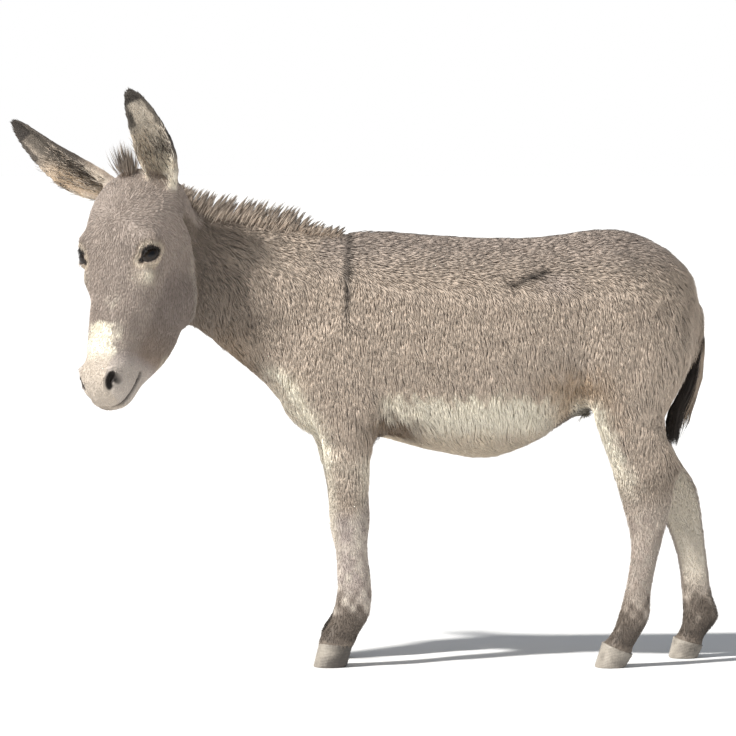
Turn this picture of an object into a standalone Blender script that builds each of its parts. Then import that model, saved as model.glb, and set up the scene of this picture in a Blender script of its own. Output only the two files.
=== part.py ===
"""A life-size young donkey, standing with its head turned to its left.

Metres, +Z up.  The donkey faces -X, its left side is towards -Y and it stands on Z = 0.
The flesh is modelled whole from lofted forms, blended into one surface, and then parted
with thin cuts where a person would name its parts.  Eyes, hooves, ears, mane, forelock
and tail are pieces of their own, trimmed to the flesh that they sit on.
"""

import math

import bmesh
import bpy
from mathutils import Matrix, Vector

# ---- driving dimensions ------------------------------------------------------------
PARTING = 0.0003            # the thin cut between two pieces
BLEND_VOXEL = 0.0085        # grain of the surface that blends the lofted forms
BLEND_ROUNDS = 7            # smoothing rounds that turn joints into fillets
FLESH_KEEP = 0.048          # share of the blended triangles that the solids keep
HEAD_FINER = 0.0022         # how far the head is spared when triangles are taken away
RING_POINTS = 28
SMALL_RING = 14
STEPS_BETWEEN_STATIONS = 4

STANCE = 0.092              # from the middle plane to each foreleg's centre line
HIND_STANCE = 0.098

HEAD_YAW = math.radians(55)     # how far the head is turned to the donkey's left
HEAD_PITCH = math.radians(70)   # how far the face points down
HEAD_ROLL = math.radians(2.5)   # how far the nose swings to its left
HEAD_CENTRE = Vector((-0.526, -0.161, 0.917))   # on the head's axis, level with the eyes
EYES_FROM_POLL = 0.155
EYE_RADIUS = 0.0225
EYE_PLACE = (0.158, 0.033, 0.0845)      # down from the poll, forwards, to the side
NOSTRIL_PLACE = (0.456, 0.030, 0.056)
NOSTRIL_RADII = (0.008, 0.016, 0.015)   # forwards, to the side, down
SHEATH_PLACE = (0.482, 0.0, 0.572)
SHEATH_RADII = (0.038, 0.022, 0.022)

# name: colour and roughness
FINISHES = {
    "grey_coat": ((0.42, 0.38, 0.34), 0.9),
    "ear_coat": ((0.36, 0.29, 0.23), 0.9),
    "mane_hair": ((0.16, 0.13, 0.11), 0.9),
    "tail_hair": ((0.03, 0.025, 0.02), 0.8),
    "horn": ((0.55, 0.50, 0.43), 0.6),
    "eye": ((0.02, 0.015, 0.012), 0.1),
}


# ---- lofting -----------------------------------------------------------------------
def through(stations, steps=STEPS_BETWEEN_STATIONS):
    """Rows of numbers on a smooth curve through the stations (Catmull-Rom)."""
    rows = []
    last = len(stations) - 1
    for i in range(last):
        before, here = stations[max(i - 1, 0)], stations[i]
        after, beyond = stations[i + 1], stations[min(i + 2, last)]
        for step in range(steps):
            t = step / steps
            rows.append([
                0.5 * (2 * b + (c - a) * t + (2 * a - 5 * b + 4 * c - d) * t ** 2
                       + (3 * b - a - 3 * c + d) * t ** 3)
                for a, b, c, d in zip(before, here, after, beyond)
            ])
    rows.append(list(stations[-1]))
    return rows


def oval(front, back, side, widest=0.5, front_power=1.0, back_power=1.0, points=RING_POINTS):
    """A closed ring from front to back.  A power over 1 makes that end pointed."""
    middle = back.lerp(front, widest)
    ring = []
    for k in range(points):
        turn = 2 * math.pi * k / points
        along, across = math.cos(turn), math.sin(turn)
        end, power = (front, front_power) if along > 0 else (back, back_power)
        swell = math.copysign(abs(across) ** power, across)
        ring.append(middle + (end - middle) * abs(along) + side * swell)
    return ring


def mesh_of(name, rings):
    """A closed mesh over equal rings, capped at both ends, with its faces outwards."""
    bm = bmesh.new()
    loops = [[bm.verts.new(point) for point in ring] for ring in rings]
    count = len(rings[0])
    for lower, upper in zip(loops, loops[1:]):
        for k in range(count):
            after = (k + 1) % count
            bm.faces.new((lower[k], lower[after], upper[after], upper[k]))
    bm.faces.new(loops[0])
    bm.faces.new(loops[-1])
    bmesh.ops.recalc_face_normals(bm, faces=bm.faces)
    if bm.calc_volume(signed=True) < 0:
        bmesh.ops.reverse_faces(bm, faces=bm.faces)
    mesh = bpy.data.meshes.new(name)
    bm.to_mesh(mesh)
    bm.free()
    return mesh


def shown(name, mesh):
    made = bpy.data.objects.new(name, mesh)
    bpy.context.scene.collection.objects.link(made)
    return made


def helper(name, mesh):
    """A form or a cutter, which is not a piece of the donkey itself."""
    made = shown(name, mesh)
    made.hide_render = True
    made.display_type = "WIRE"
    return made


def ellipsoid(name, centre, radii, frame=None, segments=18):
    """An ellipsoid with its radii along the frame's columns."""
    bm = bmesh.new()
    bmesh.ops.create_uvsphere(bm, u_segments=segments, v_segments=segments * 2 // 3, radius=1.0)
    turn = frame.to_4x4() if frame else Matrix.Identity(4)
    place = Matrix.Translation(centre) @ turn @ Matrix.Diagonal((*radii, 1.0))
    bmesh.ops.transform(bm, matrix=place, verts=bm.verts)
    if bm.calc_volume(signed=True) < 0:
        bmesh.ops.reverse_faces(bm, faces=bm.faces)
    mesh = bpy.data.meshes.new(name)
    bm.to_mesh(mesh)
    bm.free()
    return mesh


# ---- trunk and neck ----------------------------------------------------------------
# x, top, underline, half width, height share of the widest level, back's power, belly's power
TRUNK = [
    (-0.208, 0.700, 0.640, 0.030, 0.50, 1.0, 1.0),
    (-0.190, 0.790, 0.577, 0.085, 0.50, 1.0, 1.0),
    (-0.135, 0.890, 0.522, 0.117, 0.48, 1.1, 1.0),
    (-0.060, 0.975, 0.496, 0.134, 0.46, 1.4, 0.9),
    (0.020, 0.988, 0.508, 0.150, 0.44, 1.4, 0.9),
    (0.140, 0.979, 0.481, 0.175, 0.44, 1.2, 0.9),
    (0.260, 0.972, 0.462, 0.187, 0.45, 1.1, 0.9),
    (0.360, 0.971, 0.486, 0.184, 0.47, 1.05, 0.9),
    (0.440, 0.978, 0.533, 0.172, 0.50, 1.05, 0.9),
    (0.510, 0.988, 0.575, 0.160, 0.52, 1.1, 0.9),
    (0.580, 0.988, 0.600, 0.158, 0.52, 1.1, 0.9),
    (0.650, 0.966, 0.615, 0.150, 0.52, 1.05, 0.9),
    (0.705, 0.930, 0.640, 0.124, 0.52, 1.0, 1.0),
    (0.745, 0.885, 0.680, 0.084, 0.50, 1.0, 1.0),
    (0.762, 0.825, 0.730, 0.036, 0.50, 1.0, 1.0),
]

# crest x, crest z, throat x, throat z, middle's y, half width
NECK = [
    (0.020, 0.975, -0.080, 0.540, 0.000, 0.110),
    (-0.090, 0.985, -0.185, 0.590, 0.000, 0.108),
    (-0.170, 0.998, -0.240, 0.640, 0.000, 0.098),
    (-0.250, 1.012, -0.300, 0.690, -0.006, 0.086),
    (-0.330, 1.030, -0.360, 0.740, -0.022, 0.078),
    (-0.405, 1.050, -0.415, 0.778, -0.052, 0.072),
    (-0.460, 1.062, -0.470, 0.812, -0.090, 0.066),
    (-0.500, 1.050, -0.510, 0.880, -0.125, 0.050),
]


def trunk_forms():
    rings = [
        oval(Vector((x, 0, top)), Vector((x, 0, low)), Vector((0, wide, 0)), level, up, down)
        for x, top, low, wide, level, up, down in through(TRUNK)
    ]
    sheath = ellipsoid("sheath", Vector(SHEATH_PLACE), SHEATH_RADII)
    return [mesh_of("barrel", rings), sheath]


def neck_forms():
    rings = [
        oval(Vector((cx, y, cz)), Vector((tx, y, tz)), Vector((0, wide, 0)), 0.46, 1.35, 0.95)
        for cx, cz, tx, tz, y, wide in through(NECK)
    ]
    return [mesh_of("neck_form", rings)]


# ---- legs --------------------------------------------------------------------------
# height, front, back, inward lean of the middle, half width
LEFT_FORE = [
    (0.860, -0.040, 0.030, 0.020, 0.040),
    (0.760, -0.110, 0.055, 0.004, 0.056),
    (0.660, -0.150, 0.068, 0.000, 0.062),
    (0.580, -0.132, 0.058, 0.000, 0.060),
    (0.520, -0.108, 0.036, 0.000, 0.052),
    (0.480, -0.098, 0.024, 0.000, 0.047),
    (0.400, -0.084, 0.016, 0.000, 0.042),
    (0.320, -0.081, 0.017, 0.000, 0.040),
    (0.260, -0.067, 0.009, 0.000, 0.032),
    (0.190, -0.063, 0.016, 0.000, 0.030),
    (0.140, -0.068, 0.020, 0.000, 0.034),
    (0.105, -0.078, 0.013, 0.000, 0.032),
    (0.070, -0.101, -0.012, 0.000, 0.034),
    (0.050, -0.107, -0.017, 0.000, 0.041),
    (0.020, -0.112, -0.030, 0.000, 0.044),
]
RIGHT_FORE_SHIFT = ((0.52, -0.020), (0.40, -0.006), (0.30, 0.002), (0.0, 0.003))

LEFT_HIND = [
    (0.930, 0.500, 0.660, 0.040, 0.045),
    (0.840, 0.460, 0.722, 0.012, 0.074),
    (0.750, 0.456, 0.744, 0.002, 0.086),
    (0.670, 0.472, 0.736, 0.000, 0.086),
    (0.600, 0.498, 0.702, 0.000, 0.074),
    (0.550, 0.514, 0.680, 0.000, 0.062),
    (0.500, 0.533, 0.697, 0.000, 0.052),
    (0.455, 0.549, 0.718, 0.000, 0.044),
    (0.410, 0.564, 0.704, 0.000, 0.041),
    (0.350, 0.581, 0.694, 0.000, 0.037),
    (0.290, 0.596, 0.678, 0.000, 0.032),
    (0.230, 0.595, 0.662, 0.000, 0.029),
    (0.160, 0.582, 0.650, 0.000, 0.030),
    (0.115, 0.570, 0.649, 0.000, 0.034),
    (0.085, 0.560, 0.635, 0.000, 0.032),
    (0.060, 0.543, 0.619, 0.000, 0.036),
    (0.040, 0.530, 0.607, 0.000, 0.041),
    (0.015, 0.522, 0.598, 0.000, 0.044),
]
RIGHT_HIND = LEFT_HIND[:4] + [
    (0.600, 0.512, 0.703, 0.000, 0.074),
    (0.550, 0.545, 0.696, 0.000, 0.062),
    (0.500, 0.582, 0.708, 0.000, 0.052),
    (0.450, 0.618, 0.732, 0.000, 0.044),
    (0.405, 0.646, 0.762, 0.000, 0.041),
    (0.350, 0.668, 0.778, 0.000, 0.037),
    (0.290, 0.696, 0.784, 0.000, 0.032),
    (0.225, 0.717, 0.792, 0.000, 0.029),
    (0.152, 0.726, 0.802, 0.000, 0.030),
    (0.100, 0.730, 0.820, 0.000, 0.034),
    (0.075, 0.726, 0.810, 0.000, 0.032),
    (0.050, 0.717, 0.786, 0.000, 0.036),
    (0.030, 0.708, 0.778, 0.000, 0.041),
    (0.010, 0.702, 0.776, 0.000, 0.044),
]


def shifted(stations, shifts):
    """The stations moved along x by an amount that depends on their height."""
    moved = []
    for height, front, back, lean, wide in stations:
        above = [s for s in shifts if s[0] >= height] or [shifts[0]]
        below = [s for s in shifts if s[0] <= height] or [shifts[-1]]
        (high, at_high), (low, at_low) = above[-1], below[0]
        share = 0 if high == low else (height - low) / (high - low)
        by = at_low + (at_high - at_low) * share
        moved.append((height, front + by, back + by, lean, wide))
    return moved


def leg_form(name, stations, side, stance):
    """A leg from the shoulder or hip down into its hoof; side is -1 on the left."""
    rings = []
    for height, front, back, lean, wide in through(stations):
        y = side * (stance - lean)
        rings.append(oval(Vector((front, y, height)), Vector((back, y, height)),
                          Vector((0, wide, 0)), 0.52, 0.92, 0.95))
    return mesh_of(name, rings)


# name, stations, side, stance, coronet's middle (x, z), coronet's slope back and down
LEGS = [
    ("foreleg_left", LEFT_FORE, -1, STANCE, (-0.062, 0.052), math.radians(4)),
    ("foreleg_right", shifted(LEFT_FORE, RIGHT_FORE_SHIFT), 1, STANCE,
     (-0.059, 0.052), math.radians(4)),
    ("hindleg_left", LEFT_HIND, -1, HIND_STANCE, (0.573, 0.043), math.radians(22)),
    ("hindleg_right", RIGHT_HIND, 1, HIND_STANCE, (0.746, 0.038), math.radians(16)),
]
LEG_TOP = {"fore": 0.485, "hind": 0.545}


# ---- head --------------------------------------------------------------------------
def head_frame():
    """Unit vectors of the head: forwards out of the face, to its left, down to the nose."""
    ahead = Vector((-math.cos(HEAD_YAW), -math.sin(HEAD_YAW), 0))
    up = Vector((0, 0, 1))
    down = ahead * math.cos(HEAD_PITCH) - up * math.sin(HEAD_PITCH)
    face = ahead * math.sin(HEAD_PITCH) + up * math.cos(HEAD_PITCH)
    left = up.cross(ahead)
    roll = Matrix.Rotation(HEAD_ROLL, 3, face)
    return face, roll @ left, roll @ down


FACE, LEFT, DOWN = head_frame()


def on_head(down, forward, sideways):
    """A point of the head, measured down from the poll, forwards and to the left."""
    return (HEAD_CENTRE + DOWN * (down - EYES_FROM_POLL) + FACE * forward + LEFT * sideways)


# down from the poll, face's front, jaw's back, half width, widest level, face's and jaw's power
SKULL = [
    (-0.060, 0.024, -0.044, 0.030, 0.50, 1.00, 1.00),
    (-0.042, 0.046, -0.096, 0.070, 0.52, 0.85, 1.00),
    (0.005, 0.066, -0.140, 0.108, 0.60, 0.65, 0.95),
    (0.060, 0.078, -0.165, 0.116, 0.64, 0.60, 0.90),
    (0.115, 0.083, -0.180, 0.110, 0.64, 0.60, 0.85),
    (0.170, 0.080, -0.192, 0.098, 0.62, 0.70, 0.80),
    (0.230, 0.070, -0.196, 0.086, 0.58, 0.70, 0.72),
    (0.290, 0.062, -0.190, 0.076, 0.54, 0.70, 0.70),
    (0.340, 0.057, -0.168, 0.068, 0.52, 0.70, 0.70),
    (0.385, 0.054, -0.132, 0.061, 0.50, 0.70, 0.72),
    (0.425, 0.051, -0.094, 0.058, 0.50, 0.70, 0.75),
    (0.460, 0.040, -0.078, 0.052, 0.50, 0.75, 0.80),
    (0.485, 0.012, -0.058, 0.036, 0.50, 0.90, 0.90),
    (0.494, -0.008, -0.040, 0.018, 0.50, 1.00, 1.00),
]


# name, place (down, forwards, to the side), radii (forwards, to the side, down)
PAIRED_BULGES = [
    ("cheek", (0.190, -0.115, 0.054), (0.082, 0.044, 0.090)),
    ("brow", (0.126, 0.044, 0.086), (0.030, 0.026, 0.034)),
    ("cheek_bone", (0.190, 0.028, 0.070), (0.026, 0.022, 0.048)),
    ("nostril_wing", (0.432, 0.026, 0.037), (0.026, 0.019, 0.032)),
    ("ear_root", (-0.004, -0.018, 0.072), (0.038, 0.032, 0.040)),
]
CHIN_PLACE = (0.452, -0.050, 0.0)
CHIN_RADII = (0.032, 0.036, 0.030)
HEAD_TURN = Matrix((FACE, LEFT, DOWN)).transposed()


def head_forms():
    rings = [
        oval(on_head(u, front, 0), on_head(u, back, 0), LEFT * wide, level, up, down)
        for u, front, back, wide, level, up, down in through(SKULL)
    ]
    forms = [mesh_of("skull", rings)]
    for side in (1, -1):
        for name, (down, forward, sideways), radii in PAIRED_BULGES:
            place = on_head(down, forward, side * sideways)
            forms.append(ellipsoid(name, place, radii, HEAD_TURN))
    forms.append(ellipsoid("chin", on_head(*CHIN_PLACE), CHIN_RADII, HEAD_TURN))
    return forms


def eye_centre(side):
    down, forward, sideways = EYE_PLACE
    return on_head(down, forward, side * sideways)


# ---- ears --------------------------------------------------------------------------
# share of the length, half width, half angle of the curl in degrees
EAR = [
    (-0.10, 0.030, 168),
    (0.03, 0.033, 150),
    (0.14, 0.039, 126),
    (0.28, 0.045, 106),
    (0.43, 0.048, 94),
    (0.60, 0.044, 84),
    (0.76, 0.037, 74),
    (0.89, 0.028, 64),
    (0.97, 0.017, 56),
    (1.00, 0.008, 50),
]
# side: base on the head, tip from the base, bow of the middle, way that the cup opens
EAR_POSES = {
    "left": ((-0.012, 0.004, 0.071), Vector((-0.080, -0.090, 0.220)),
             Vector((0.014, 0.004, 0.004)), Vector((-0.30, -0.95, 0.0))),
    "right": ((-0.014, 0.000, -0.083), Vector((-0.226, 0.045, 0.160)),
              Vector((0.002, 0.0, -0.018)), Vector((-0.28, -0.80, -0.52))),
}
EAR_ARC_POINTS = 7
EAR_THICKNESS = 0.008
EAR_LEAST_HOLLOW = 0.45     # the hollow's least radius, as a share of the outer radius


def ear_mesh(side_name):
    """A curled sheet, rolled into a tube at its base and rounded off at its tip."""
    place, reach, bow, opening = EAR_POSES[side_name]
    base = on_head(*place)
    rings = []
    for share, half_width, half_angle in through(EAR, 1):
        axis = (reach + bow * 4 * (1 - 2 * share)).normalized()
        back = -(opening - axis * opening.dot(axis)).normalized()
        across = axis.cross(back)
        turn = math.radians(half_angle)
        radius = half_width / math.sin(min(turn, math.pi / 2))
        centre = base + reach * share + bow * 4 * share * (1 - share)
        opened = min(1.0, 1.6 * share + 0.2)        # the tube at the base stays in line
        centre -= back * radius * (1 + math.cos(turn)) / 2 * opened
        hollow = max(radius - EAR_THICKNESS, radius * EAR_LEAST_HOLLOW)

        def arc(size, way):
            for k in range(EAR_ARC_POINTS):
                angle = way * turn * (2 * k / (EAR_ARC_POINTS - 1) - 1)
                yield centre + (back * math.cos(angle) + across * math.sin(angle)) * size

        rings.append([*arc(radius, 1), *arc(hollow, -1)])
    return mesh_of("ear_" + side_name, rings)


# ---- mane, forelock and tail ---------------------------------------------------------
# x, y, top, root inside the neck, half width
MANE = [
    (-0.475, -0.100, 1.096, 1.050, 0.010),
    (-0.430, -0.072, 1.092, 1.030, 0.015),
    (-0.380, -0.045, 1.082, 1.010, 0.017),
    (-0.330, -0.022, 1.069, 0.996, 0.018),
    (-0.270, -0.008, 1.063, 0.985, 0.018),
    (-0.190, 0.000, 1.052, 0.970, 0.018),
    (-0.145, 0.000, 1.024, 0.960, 0.017),
    (-0.090, 0.000, 1.009, 0.955, 0.014),
    (-0.050, 0.000, 0.999, 0.960, 0.008),
]
# x, z of the middle, half depth, half width; the first four rows are the fleshy dock
TAIL_DOCK = [
    (0.715, 0.850, 0.020, 0.022),
    (0.742, 0.820, 0.024, 0.024),
    (0.753, 0.770, 0.023, 0.022),
    (0.756, 0.710, 0.019, 0.019),
    (0.752, 0.660, 0.016, 0.017),
]
TAIL_TUFT = [
    (0.752, 0.660, 0.018, 0.020),
    (0.740, 0.620, 0.023, 0.024),
    (0.722, 0.580, 0.027, 0.026),
    (0.710, 0.545, 0.026, 0.024),
    (0.706, 0.510, 0.018, 0.017),
    (0.708, 0.485, 0.006, 0.006),
]


# share of its height, half width
FORELOCK = [(0.0, 0.024), (0.4, 0.026), (0.8, 0.018), (1.0, 0.006)]
FORELOCK_ROOT = (-0.030, 0.034)         # down from the poll, forwards
FORELOCK_TIP = (-0.102, 0.096)
FORELOCK_ASIDE = -0.006


def mane_mesh():
    rings = [
        oval(Vector((x, y, top)), Vector((x, y, root)), Vector((0, wide, 0)), 0.4, 1.2,
             points=SMALL_RING)
        for x, y, top, root, wide in through(MANE, 2)
    ]
    return mesh_of("mane", rings)


def forelock_mesh():
    """A short upright lock between the ears, leaning forwards."""
    rings = []
    for share, wide in through(FORELOCK, 2):
        down = FORELOCK_ROOT[0] + (FORELOCK_TIP[0] - FORELOCK_ROOT[0]) * share
        forward = FORELOCK_ROOT[1] + (FORELOCK_TIP[1] - FORELOCK_ROOT[1]) * share
        middle = on_head(down, forward, FORELOCK_ASIDE)
        rings.append(oval(middle + FACE * wide, middle - FACE * wide, LEFT * wide * 0.8,
                          points=SMALL_RING))
    return mesh_of("forelock", rings)


def tail_mesh(name, stations):
    rings = [
        oval(Vector((x - deep, 0, z)), Vector((x + deep, 0, z)), Vector((0, wide, 0)),
             points=SMALL_RING)
        for x, z, deep, wide in through(stations, 2)
    ]
    return mesh_of(name, rings)


# ---- hooves --------------------------------------------------------------------------
HOOF_RINGS = 4
HOOF_RING_POINTS = 18
HOOF_TOE_AHEAD = 0.003      # how far the toe runs ahead of the pastern
HOOF_HEEL_AHEAD = 0.008     # how far the heel's ground line runs ahead of the pastern
HOOF_FLARE = 0.10           # how much wider the sole is than the coronet
HOOF_HALF_WIDTH = {-1: 0.0380, 1: 0.0399}       # left and right, at the coronet
CORONET_FRONT, CORONET_BACK = 0.95, 0.92        # shares of the foot's half depth


def hoof_mesh(name, stations, side, stance, coronet, slope):
    """A blunt cone, flat on the floor and cut along the sloping line of the coronet."""
    y = side * stance
    _, foot_front, foot_back, _, _ = stations[-1]
    low_front, low_back = foot_front - HOOF_TOE_AHEAD, foot_back - HOOF_HEEL_AHEAD
    x_mid, z_mid = coronet
    reach = (foot_back - foot_front) / 2
    front_top, back_top = x_mid - reach * CORONET_FRONT, x_mid + reach * CORONET_BACK
    rings = []
    for k in range(HOOF_RINGS + 1):
        share = k / HOOF_RINGS
        front_height = (z_mid + math.tan(slope) * (x_mid - front_top)) * share
        back_height = (z_mid + math.tan(slope) * (x_mid - back_top)) * share
        front = Vector((low_front + (front_top - low_front) * share, y, front_height))
        back = Vector((low_back + (back_top - low_back) * share, y, back_height))
        wide = HOOF_HALF_WIDTH[side] * (1 + HOOF_FLARE * (1 - share))
        rings.append(oval(front, back, Vector((0, wide, 0)), 0.55, 0.85, 0.8,
                          HOOF_RING_POINTS))
    return mesh_of(name, rings)


# ---- parting ---------------------------------------------------------------------------
def block_beyond(name, point, outward, size=(3.0, 3.0, 3.0), offset=0.0):
    """A box whose one face lies on the plane through point, reaching the way of outward."""
    outward = outward.normalized()
    turn = outward.to_track_quat("Z", "Y").to_matrix().to_4x4()
    place = Matrix.Translation(point + outward * offset) @ turn
    bm = bmesh.new()
    bmesh.ops.create_cube(bm, size=1.0)
    bmesh.ops.transform(bm, matrix=Matrix.Translation((0, 0, size[2] / 2))
                        @ Matrix.Diagonal((*size, 1.0)), verts=bm.verts)
    bmesh.ops.transform(bm, matrix=place, verts=bm.verts)
    mesh = bpy.data.meshes.new(name)
    bm.to_mesh(mesh)
    bm.free()
    return helper(name, mesh)


def cut(target, cutter, operation="DIFFERENCE"):
    modifier = target.modifiers.new(f"{operation} {cutter.name}", "BOOLEAN")
    modifier.operation = operation
    modifier.solver = "EXACT"
    modifier.object = cutter


def baked(source, name):
    """The source's mesh with its modifiers applied."""
    graph = bpy.context.evaluated_depsgraph_get()
    mesh = bpy.data.meshes.new_from_object(source.evaluated_get(graph))
    mesh.name = name
    return mesh


def join_all(name, meshes):
    bm = bmesh.new()
    for mesh in meshes:
        bm.from_mesh(mesh)
    joined = bpy.data.meshes.new(name)
    bm.to_mesh(joined)
    bm.free()
    return joined


def blended_flesh():
    """All fleshy forms as one smooth closed surface of few triangles."""
    forms = trunk_forms() + neck_forms() + head_forms()
    for name, stations, side, stance, _, _ in LEGS:
        forms.append(leg_form(name + "_form", stations, side, stance))
    flesh = helper("flesh", join_all("flesh", forms))
    remesh = flesh.modifiers.new("blend", "REMESH")
    remesh.mode = "VOXEL"
    remesh.voxel_size = BLEND_VOXEL
    smooth = flesh.modifiers.new("fillets", "SMOOTH")
    smooth.factor = 0.5
    smooth.iterations = BLEND_ROUNDS
    flesh.modifiers.new("triangles", "TRIANGULATE")
    bpy.context.view_layer.update()

    # The face keeps more of its triangles than the barrel does.
    fine = helper("flesh_fine", baked(flesh, "flesh_fine"))
    spared = fine.vertex_groups.new(name="spared")
    for vertex in fine.data.vertices:
        far = (vertex.co - HEAD_CENTRE).length
        spared.add([vertex.index], min(1.0, max(0.5, far / 0.30 - 0.2)), "REPLACE")
    fewer = fine.modifiers.new("fewer", "DECIMATE")
    fewer.ratio = FLESH_KEEP
    fewer.vertex_group = "spared"
    fewer.vertex_group_factor = HEAD_FINER
    bpy.context.view_layer.update()
    return baked(fine, "flesh_whole")


HEAD_CUT = Vector((-0.362, -0.085, 0.950)), Vector((-0.857, -0.514, 0.0))
NECK_CUT = Vector((-0.150, 0.0, 0.850)), Vector((-0.948, 0.0, 0.318))


# pair: front and back of the boxes that hold the legs; both pairs share width and height
LEG_ZONES = {"fore": (-0.25, 0.09), "hind": (0.505, 0.90)}
ZONE_WIDTH, ZONE_HEIGHT = 0.40, 0.80
ZONE_FROM_MIDDLE = 0.001    # the gap that is left between the left and right boxes


def leg_zone(name, margin):
    """The box that holds one leg below its parting from the trunk."""
    pair = "fore" if name.startswith("fore") else "hind"
    side = -1 if name.endswith("left") else 1
    low_x, high_x = LEG_ZONES[pair]
    size = Vector((high_x - low_x, ZONE_WIDTH, ZONE_HEIGHT)) + Vector((margin, 0, margin)) * 2
    centre = Vector(((low_x + high_x) / 2, side * (ZONE_WIDTH / 2 + ZONE_FROM_MIDDLE),
                     LEG_TOP[pair] - ZONE_HEIGHT / 2))
    bm = bmesh.new()
    bmesh.ops.create_cube(bm, size=1.0)
    bmesh.ops.transform(bm, matrix=Matrix.Translation(centre) @ Matrix.Diagonal((*size, 1.0)),
                        verts=bm.verts)
    mesh = bpy.data.meshes.new(name + "_zone")
    bm.to_mesh(mesh)
    bm.free()
    return helper(f"{name}_zone_{margin}", mesh)


def colour(obj, name):
    rgb, roughness = FINISHES[name]
    material = bpy.data.materials.get(name) or bpy.data.materials.new(name)
    material.use_nodes = True
    shader = material.node_tree.nodes["Principled BSDF"]
    shader.inputs["Base Color"].default_value = (*rgb, 1.0)
    shader.inputs["Roughness"].default_value = roughness
    shader.inputs["Metallic"].default_value = 0.0
    obj.data.materials.clear()
    obj.data.materials.append(material)


def centre_on_origin():
    """Move everything so that the middle of the whole donkey stands over the origin."""
    graph = bpy.context.evaluated_depsgraph_get()
    corners = [
        Vector(corner)
        for piece in bpy.data.objects if not piece.hide_render
        for corner in piece.evaluated_get(graph).bound_box
    ]
    middle_x = (min(c.x for c in corners) + max(c.x for c in corners)) / 2
    middle_y = (min(c.y for c in corners) + max(c.y for c in corners)) / 2
    for each in bpy.data.objects:
        each.location.x -= middle_x
        each.location.y -= middle_y


def build():
    for old in list(bpy.data.objects):
        bpy.data.objects.remove(old)

    whole = blended_flesh()
    swelled = helper("flesh_swelled", whole.copy())
    swell = swelled.modifiers.new("parting", "DISPLACE")
    swell.mid_level = 0.0
    swell.strength = PARTING
    eyes = {side: ellipsoid(f"eye_{side}", eye_centre(sign), (EYE_RADIUS,) * 3, segments=16)
            for side, sign in (("left", 1), ("right", -1))}
    sockets = [
        helper(f"socket_{side}",
               ellipsoid(f"socket_{side}", eye_centre(sign), (EYE_RADIUS + PARTING * 2,) * 3,
                         segments=16))
        for side, sign in (("left", 1), ("right", -1))
    ]
    down, forward, sideways = NOSTRIL_PLACE
    nostrils = [
        helper(f"nostril_{side}",
               ellipsoid(f"nostril_{side}", on_head(down, forward, sign * sideways),
                         NOSTRIL_RADII, HEAD_TURN, 12))
        for side, sign in (("left", 1), ("right", -1))
    ]

    def flesh_piece(name):
        piece = shown(name, whole.copy())
        colour(piece, "grey_coat")
        return piece

    # The head ends behind the ears and jaw, and the neck at a line from withers to breast.
    head = flesh_piece("head")
    cut(head, block_beyond("head_zone", *HEAD_CUT), "INTERSECT")
    for cutter in sockets + nostrils:
        cut(head, cutter)

    neck = flesh_piece("neck")
    cut(neck, block_beyond("neck_zone", *NECK_CUT), "INTERSECT")
    cut(neck, block_beyond("head_zone_wide", *HEAD_CUT, offset=-PARTING))

    trunk = flesh_piece("trunk")
    cut(trunk, block_beyond("neck_zone_wide", *NECK_CUT, offset=-PARTING))
    for name, *_ in LEGS:
        cut(trunk, leg_zone(name, PARTING))

    for name, stations, side, stance, coronet, slope in LEGS:
        x_mid, z_mid = coronet
        line = Vector((x_mid, side * stance, z_mid))
        into_hoof = Vector((-math.sin(slope), 0, -math.cos(slope)))
        leg = flesh_piece(name)
        cut(leg, leg_zone(name, 0.0), "INTERSECT")
        cut(leg, block_beyond(name + "_hoof_zone", line, into_hoof,
                              (0.16, 0.16, 0.2), -PARTING))
        hoof_name = name.replace("leg", "hoof")
        hoof = shown(hoof_name, hoof_mesh(hoof_name, stations, side, stance, coronet, slope))
        colour(hoof, "horn")

    for side, sign in (("left", 1), ("right", -1)):
        ear = shown(f"ear_{side}", ear_mesh(side))
        cut(ear, swelled)
        colour(ear, "ear_coat")
        eye = shown(f"eye_{side}", eyes[side])
        eye.data.shade_smooth()
        colour(eye, "eye")

    for piece in (shown("mane", mane_mesh()), shown("forelock", forelock_mesh())):
        cut(piece, swelled)
        colour(piece, "mane_hair")
    dock = shown("tail_dock", tail_mesh("tail_dock", TAIL_DOCK))
    cut(dock, swelled)
    colour(dock, "grey_coat")
    tuft = shown("tail_tuft", tail_mesh("tail_tuft", TAIL_TUFT))
    tuft.location.z = -PARTING
    cut(tuft, swelled)
    colour(tuft, "tail_hair")
    centre_on_origin()


build()
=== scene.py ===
"""A life-size young donkey: one skin, its coat in tufts, mane, tail hair, eyes and hooves."""
import math

import bmesh
import bpy
import numpy as np
from mathutils import Matrix, Vector
from mathutils.bvhtree import BVHTree
from mathutils.kdtree import KDTree


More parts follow.
